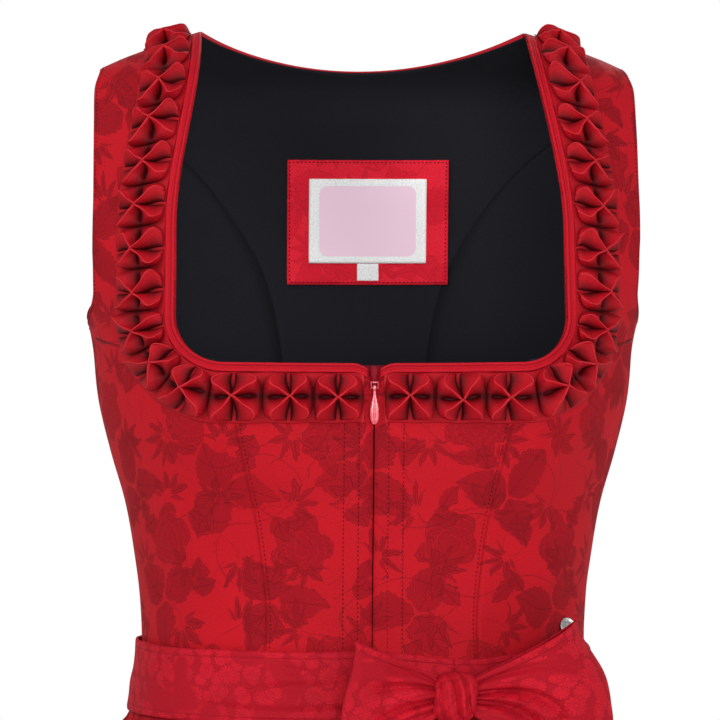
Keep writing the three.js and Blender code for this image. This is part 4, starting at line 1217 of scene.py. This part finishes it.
# Waist button
# A round button of aged silver, domed in the middle with a turned rim, sewn on beside the bow.
button_x, button_z = 107.0, -330.5
silver = metal_material("silver_metal", (0.32, 0.31, 0.3), (0.72, 0.72, 0.72), (650.0, 5.0, 0.35),
                        (-0.25, 0.42), 0.25, Metallic=1.0)
bm = bmesh.new()
profile = ((0.0, 1.8), (1.4, 1.75), (2.6, 1.45), (3.3, 1.0), (3.7, 0.85), (4.1, 1.0), (4.5, 1.35), (5.0, 1.4),
           (5.4, 1.1), (5.5, 0.7), (5.2, 0.2), (4.6, 0.0), (0.0, 0.0))
ring = [bm.verts.new((radius * mm, 0, height * mm)) for radius, height in profile]
ring_edges = [bm.edges.new(pair) for pair in zip(ring, ring[1:])]
bmesh.ops.spin(bm, geom=ring + ring_edges, cent=(0, 0, 0), axis=(0, 0, 1), angle=2 * math.pi, steps=48,
               use_merge=True)
bmesh.ops.remove_doubles(bm, verts=bm.verts, dist=1e-6)
button_angle = float(front_angle(button_x, button_z))
facing = (Vector(outward(button_angle, button_z)) + Vector((0, -0.7, 0.7))).normalized()
seat = Vector(out_from(button_angle, button_z, bodice_out + 2.2)) * mm
seated = Matrix.Translation(seat) @ facing.to_track_quat("Z", "Y").to_matrix().to_4x4()
bmesh.ops.transform(bm, verts=bm.verts, matrix=seated)
metal_piece(bm, "button", "garment", "waist_button", [silver], 55)

# Skirt and apron
# Two skirt panels gathered into the waist seam, and an apron gathered on a band over the front.
# The gathers are fine at the waist and open into even folds, and both hems are turned up and sewn.
folds_per_half, columns_per_fold, bare_folds, side_gap = 20, 4, 2, 0.02
skirt_hem, apron_hem, skirt_top, apron_top = -1000, -940, -350.15, -381.4
band_top, band_bottom = -340, -381
fold_z = np.array([-350, -383, -392, -415, -460, -600, -800, -1000], float)
fold_half = np.array([0, 0.1, 2.4, 5.5, 8.5, 10.5, 11, 11.5], float)
skirt_in, skirt_cloth_thick, apron_gap = 1.3, 1.5, 0.8
apron_layers = 2 + apron_gap / skirt_cloth_thick
half_columns = folds_per_half * columns_per_fold


def even_angle(start, column):
    """Angles with equal steps of cloth between them, for one half of the skirt."""
    angles = start + np.linspace(0, math.pi, 721)
    ring = on_form(angles, -700)
    lengths = lengths_along(ring)
    return np.interp(column / half_columns * lengths[-1], lengths, angles)


def folded_thickness(z):
    side, front, back = section(z)
    half_pitch = math.pi * (side + (front + back) / 2) / (4 * folds_per_half)
    return skirt_cloth_thick * np.hypot(1, 2 * smooth_between(fold_z, fold_half, z) / half_pitch)


def folded_distance(column, z, seed):
    """Folds of uneven depth that wander a little, with fine gathers close under the waist."""
    wander = 0.5 * np.sin(column * 0.31 + seed) * smoothstep(-z, 420, 640) * np.sin(z / 130 + seed)
    depth = smooth_between(fold_z, fold_half, z) * (0.86 + 0.14 * np.sin(column * 0.83 + seed * 2))
    main = 1 + np.cos(2 * math.pi * column / columns_per_fold + wander)
    fine = np.sin(2 * math.pi * column * 0.75 + 1.1 * np.sin(column * 0.57)) * np.sin(column * 0.21 + 1)
    fine = fine * 0.5 + 0.5
    gather = 1.5 * fine * smoothstep(-z, 380, 390) * (1 - smoothstep(-z, 400, 520))
    return skirt_in + depth * main + gather


def skirt_place(start, seed, first, last, top, hem, layers):
    """layers is how many thicknesses of cloth lie under this one's outer face, with its own."""

    def place(u, v):
        column = first + u * (last - first)
        z = lerp(top, hem, v**1.15)
        angle = even_angle(start, column)
        turned_up = 0.5 * smoothstep(hem + 24 - z, 0, 1.6)
        distance = folded_distance(column, z, seed) + folded_thickness(z) * layers - turned_up * 0.8 + 0.4
        spread = np.stack([(angle - start) * 205 * 1.45, z], axis=-1)
        return out_from(angle, z, distance), spread, np.minimum(z - hem, 60)

    return place


skirt_cloth = cloth_material("skirt_jacquard", bodice_red, figure_red, line_red, figure=rose_figure, hem=22)
for name, start, seed in (("skirt_front", -math.pi / 2, 0.4), ("skirt_back", math.pi / 2, 2.1)):
    place = skirt_place(start, seed, side_gap, half_columns - side_gap, skirt_top, skirt_hem, 1)
    cloth_piece(name, [skirt_cloth], 1.2, [(320, 50, place)])


def daisy_group():
    """Small daisies close together, with bare ground between their clusters."""
    group, place, out, x, y = figure_group("daisy_figure")
    flowers = []
    for cell, shift, seed, base, with_eye in (((13.5, 12), (0, 0), 2, 4.6, True), ((10, 9), (4, 7), 15, 3.1, False)):
        in_x, in_y, first, _ = scattered(group, x, y, cell, shift, seed, 3)
        around, reach = round_centre(in_x, in_y)
        size = first * 1.6 + base
        petals = (around * 6.5).sum("SINE").abs()
        spare = size * (petals * 0.24 + 0.76) - reach
        flower = spare.over(0, 0.4)
        slits = petals.under(0.3, 0.3) * reach.over(1.1, 0.3)
        if with_eye:
            slits = slits.either((reach - 1.2).abs().under(0.25, 0.3))
        flowers.append((flower, spare.abs().under(0.2, 0.28), slits * flower))
    clusters = noise(group, place, 30.0, 1.0, noise_dimensions="2D")
    shown = Amount(group, clusters.outputs["Fac"]).over(0.4, 0.04)
    for socket, large, small in zip(out.inputs, *flowers):
        group.links.new((large.either(small) * shown).socket, socket)
    return group


apron_red, daisy_red, apron_line_red = (0.335, 0.0025, 0.011), (0.56, 0.0056, 0.02), (0.22, 0.0016, 0.008)
daisy_figure = daisy_group()
apron_cloth, band_cloth = (
    cloth_material(name, apron_red, daisy_red, apron_line_red, figure=daisy_figure, rough=0.66,
                   figure_rough=0.58, sheen=0.07, relief=0.3, hem=hem)
    for name, hem in (("apron_jacquard", 22), ("band_jacquard", 4))
)
first = bare_folds * columns_per_fold
place = skirt_place(-math.pi / 2, 0.4, first, half_columns - first, apron_top, apron_hem, apron_layers)
cloth_piece("apron_skirt", [apron_cloth], 1.2, [(280, 48, place)])

# Waistband and ties
# The apron's folded band lies round the waist, with the two hemmed ties over it: the left one covers
# the end of the right one behind and both run to the knot in front, with soft folds beside the bow.
waistband_out, tie_out, tie_thick, band_thick = 5.3, 7.2, 1.2, 1.2
knot_x, knot_z = 44, -364
knot_angle = float(front_angle(knot_x, knot_z))


def band_place(from_angle, to_angle, distance_at, folds=()):
    def place(u, v):
        angle = lerp(from_angle(v), to_angle(v), u)
        z = lerp(band_bottom, band_top, v)
        edge = np.minimum(v, 1 - v) * (band_top - band_bottom)
        cloth = cloth_place(angle, z)
        belly = 0.5 * np.sin(math.pi * v) + 0.35 * np.sin(angle * 7 + v * 4) * np.sin(math.pi * v)
        lift = distance_at(angle) - 0.8 + belly * 0.9 + creases(cloth[:, 0], z, folds)
        sway = 0.7 * np.sin(angle * 3.1 + 0.8) + 0.5 * np.sin(angle * 7.7)
        lift = lift - 0.5 * hump(edge, 0, 0.9)
        dip = 5.5 * hump(cloth[:, 0], 52, 34) + 4.5 * hump(angle, 1.5, 0.4)
        return out_from(angle, z + (sway * 0.6 - dip) * v, lift), cloth, edge

    return place


# Length round from the centre front and height of each end, bend, width and depth
tie_left_folds = [
    (-92, -372, 30, -367, -5, 3.0, -1.5), (-66, -362, 32, -362, 3, 2.6, -1.3), (-44, -350, 30, -356, -3, 3.0, -1.2),
    (-78, -367, 24, -364, -3, 3.2, 1.0), (-52, -356, 24, -358, 2, 3.0, 0.9), (-128, -352, -76, -358, 4, 4, -0.7),
    (-182, -366, -120, -360, 4, 5, 0.6), (-250, -356, -204, -362, 4, 4, -0.8), (-330, -364, -280, -358, 4, 5, -0.7),
]
tie_right_folds = [
    (54, -366, 120, -372, 5, 3.0, -1.4), (54, -359, 104, -354, -3, 3.0, -1.2), (56, -363, 96, -362, 2, 2.8, 0.9),
    (150, -352, 196, -360, 4, 4, -0.8), (220, -368, 268, -360, 4, 5, 0.6), (290, -356, 336, -364, 4, 4, -0.7),
]
band_end = 1.36
place = band_place(lambda v: -band_end, lambda v: band_end, lambda angle: waistband_out + 0.8)
cloth_piece("apron_waistband", [band_cloth], band_thick, [(120, 10, place)])
for name, from_angle, to_angle, distance_at, folds, length in (
    ("tie_left", lambda v: -math.pi - 0.2 + 0.12 * v, lambda v: knot_angle - 0.0001, lambda angle: tie_out,
     tie_left_folds, 0.46),
    ("tie_right", lambda v: knot_angle + 0.0001, lambda v: math.pi + 0.05,
     lambda angle: tie_out - (tie_out - waistband_out) * smoothstep(angle, 2.3, 2.7), tie_right_folds, 0.36),
):
    cloth_piece(name, [band_cloth], tie_thick,
                [(int(length * 600), 32, band_place(from_angle, to_angle, distance_at, folds))])

# Bow
# The ties are tied in front, to the right of the middle: two loops of the band with folds that run
# out from the knot, the knot wrapped twice and drawn tight, and two free ends over the apron.
knot_half_width, knot_half_height, knot_half_depth = 12.5, 14, 9.5
near_knot = knot_x - knot_half_width
tie_face = out_from(float(front_angle(near_knot, knot_z)), knot_z, tie_out)[1]
knot_y = tie_face - seam_gap - knot_half_depth
loop_left = {"side": -1, "length": 54, "rise": 0, "end_width": 64, "bulge": 7, "fall_back": -18,
             "lean": (-1.5, -9.0, 0.0)}
loop_right = {"side": 1, "length": 79, "rise": 5, "end_width": 68, "bulge": 11, "fall_back": 36,
              "lean": (2.0, -18.5, -2.4)}
# Folds of each loop, by share of its length and share of its width: ends, bend, width and depth
left_loop_folds = [
    (0.00, 0.72, 0.62, 0.60, 0.02, 0.050, -3.2), (0.00, 0.42, 0.58, 0.26, 0.03, 0.055, -3.6),
    (0.00, 0.58, 0.40, 0.46, -0.02, 0.045, 1.8), (0.00, 0.88, 0.50, 0.86, 0.03, 0.050, -2.0),
    (0.05, 0.20, 0.52, 0.08, 0.02, 0.050, -2.2), (0.30, 0.72, 0.86, 0.74, 0.02, 0.080, 1.5),
]
right_loop_folds = [
    (0.00, 0.60, 0.62, 0.26, 0.10, 0.045, -5.4), (0.00, 0.42, 0.46, 0.06, 0.08, 0.045, -5.0),
    (0.02, 0.84, 0.72, 0.70, 0.05, 0.050, -2.4), (0.00, 0.50, 0.52, 0.15, 0.09, 0.040, 3.2),
    (0.05, 0.36, 0.44, 0.04, 0.04, 0.045, -2.8), (0.25, 0.76, 0.85, 0.58, 0.06, 0.080, 1.6),
    (0.45, 0.94, 0.90, 0.88, 0.02, 0.050, -1.0),
]


def loop_place(shape, folds):
    knot_width, side = 20, shape["side"]

    def place(u, v):
        turn = 2 * math.pi * u
        share = (1 - np.cos(turn)) / 2
        half_depth = 3.2 * (1 - share) + shape["bulge"] * share**0.8 * np.sqrt(np.maximum(0, 1 - share**5))
        facing = np.sign(np.sin(turn))
        folded = creases(share, v, folds) * (share > 0.002)
        depth = facing * (half_depth + folded * (1 - share**4))
        lean = shape["lean"][0] * (1 - (2 * v - 0.9) ** 2) + shape["lean"][1] * smoothstep(v, 0.35, 1.0)
        lean = lean + shape["lean"][2] * hump(v, 0.4, 0.16)
        along = lerp(0, shape["length"], share) + lean * share**2
        width = lerp(knot_width, shape["end_width"], share**0.8)
        points = np.stack([
            knot_x + side * (knot_half_width - 2.5 + along),
            knot_y - np.where(np.abs(np.sin(turn)) < 1e-6, 0, depth) + shape["fall_back"] * share**2,
            knot_z + shape["rise"] * share + width * (v - 0.5),
        ], axis=-1)
        cloth = np.stack([u * 2 * shape["length"], v * 52], axis=-1)
        return points, cloth, np.minimum(v, 1 - v) * width

    return place


for name, shape, folds in (("bow_loop_left", loop_left, left_loop_folds),
                           ("bow_loop_right", loop_right, right_loop_folds)):
    cloth_piece(name, [band_cloth], 0.9, [(96, 64, loop_place(shape, folds))], closed=True)

# Diagonal folds over the knot, by share round it and share across it
knot_folds = [
    (0.04, 0.30, 0.36, 0.62, 0.02, 0.035, -2.2), (0.08, 0.62, 0.40, 0.88, 0.02, 0.035, -2.0),
    (0.12, 0.08, 0.44, 0.30, -0.02, 0.035, -1.8), (0.06, 0.46, 0.38, 0.75, 0.02, 0.045, 1.4),
    (0.10, 0.18, 0.40, 0.46, 0.02, 0.045, 1.2),
]


def knot_place(u, v):
    turn = 2 * math.pi * u
    across = 2 * v - 1
    pinch = np.sqrt(np.maximum(0, 1 - 0.86 * np.abs(across) ** 3.2))
    rise = creases(u, v, knot_folds)
    swing = np.sign(np.cos(turn)) * np.abs(np.cos(turn)) ** 0.75
    reach = np.sign(np.sin(turn)) * np.abs(np.sin(turn)) ** 0.75
    points = np.stack([
        knot_x + knot_half_width * across * (1 - 0.06 * np.sin(turn)) + 0.8 * swing,
        knot_y - (knot_half_depth * pinch + rise) * reach,
        knot_z + (knot_half_height * pinch + rise * 0.6) * swing,
    ], axis=-1)
    return points, np.stack([v * 40, u * 76], axis=-1), np.full(len(u), 30.0)


cloth_piece("bow_knot", [band_cloth], 0.9, [(96, 56, knot_place)], closed=True)

tail_top, tail_end, tail_top_width, tail_end_width = -382.5, -690, 20, 56
for side_name, top_x, end_x, lift, seed in (("left", 39, 12, 0, 0.0), ("right", 49, 84, 2.4, 1.9)):
    def tail_place(u, v, top_x=top_x, end_x=end_x, lift=lift, seed=seed):
        z = lerp(tail_top, tail_end, v)
        width = lerp(tail_top_width, tail_end_width, np.minimum(1, 2.5 * v))
        x = lerp(top_x, end_x, v) + width * (u - 0.5) + 2.0 * np.sin(v * 7 + seed) * v
        apron_face = skirt_in + 2 * smooth_between(fold_z, fold_half, z) + folded_thickness(z) * apron_layers
        pleats = 1.5 * np.sin(2 * math.pi * (u * 2.2 + seed / 4)) * (1 - smoothstep(v, 0.15, 0.75))
        soft = 1.3 * np.sin(2 * math.pi * (u * 0.9 + v * 1.4 + seed / 3)) * smoothstep(v, 0.2, 0.5)
        seat = np.maximum(tie_out, apron_face) + 2.2 + lift + pleats + soft
        edge = np.minimum(np.minimum(u, 1 - u) * width, (1 - v) * (tail_top - tail_end))
        cloth = np.stack([u * 56, v * (tail_top - tail_end)], axis=-1)
        return out_from(front_angle(x, z), z, seat), cloth, edge

    cloth_piece(f"bow_tail_{side_name}", [band_cloth], 0.9, [(40, 120, tail_place)])

# Floor, light and camera
# A plain pale floor, soft round lights from the left, the right, the front and behind, and a camera
# level with the neckline, a little to the left of the middle.
floor_height, floor_half = -1.36, 6.0
bm = bmesh.new()
bmesh.ops.create_grid(bm, x_segments=1, y_segments=1, size=floor_half)
bmesh.ops.translate(bm, verts=bm.verts, vec=(0, 0, floor_height))
mesh = bpy.data.meshes.new("floor")
bm.to_mesh(mesh)
bm.free()
floor = bpy.data.objects.new("floor", mesh)
bpy.context.scene.collection.objects.link(floor)
floor_paint, _, floor_shader = new_material("floor")
floor_shader.inputs["Base Color"].default_value = (0.95, 0.95, 0.95, 1)
floor_shader.inputs["Roughness"].default_value = 0.8
mesh.materials.append(floor_paint)

world = bpy.data.worlds.new("studio")
bpy.context.scene.world = world
world.use_nodes = True
air = world.node_tree
air.nodes["Background"].inputs["Color"].default_value = (1, 1, 1, 1)
seen = air.nodes.new("ShaderNodeLightPath")
strength = air.nodes.new("ShaderNodeMapRange")
strength.inputs["To Min"].default_value, strength.inputs["To Max"].default_value = 0.45, 1.0
air.links.new(seen.outputs["Is Camera Ray"], strength.inputs["Value"])
air.links.new(strength.outputs["Result"], air.nodes["Background"].inputs["Strength"])


def soft_light(name, place, aim, size, power):
    lamp = bpy.data.lights.new(name, "AREA")
    lamp.shape, lamp.size, lamp.energy = "DISK", size, power
    light = bpy.data.objects.new(name, lamp)
    bpy.context.scene.collection.objects.link(light)
    light.location = place
    light.rotation_euler = (Vector(aim) - Vector(place)).to_track_quat("-Z", "Y").to_euler()


soft_light("key", (-1.6, -1.3, 0.8), (0, 0, -0.25), 1.1, 27)
soft_light("fill", (1.7, -1.3, 0.2), (0, 0, -0.25), 1.4, 14)
soft_light("front", (0.2, -2.6, 0.0), (0, 0, -0.2), 0.9, 33)
soft_light("back", (0.6, 2.2, 1.2), (0, 0, -0.4), 1.6, 16)

camera_data = bpy.data.cameras.new("camera")
camera_data.lens, camera_data.sensor_width = 175.4, 36
camera = bpy.data.objects.new("camera", camera_data)
bpy.context.scene.collection.objects.link(camera)
camera_distance, camera_turn = 2.0, math.radians(-3)
aim = Vector((-0.0017, 0, -0.182))
camera.location = aim + Vector((math.sin(camera_turn), -math.cos(camera_turn), 0)) * camera_distance
camera.rotation_euler = (math.pi / 2, 0, camera_turn)
bpy.context.scene.camera = camera
bpy.context.scene.view_settings.view_transform = "Standard"
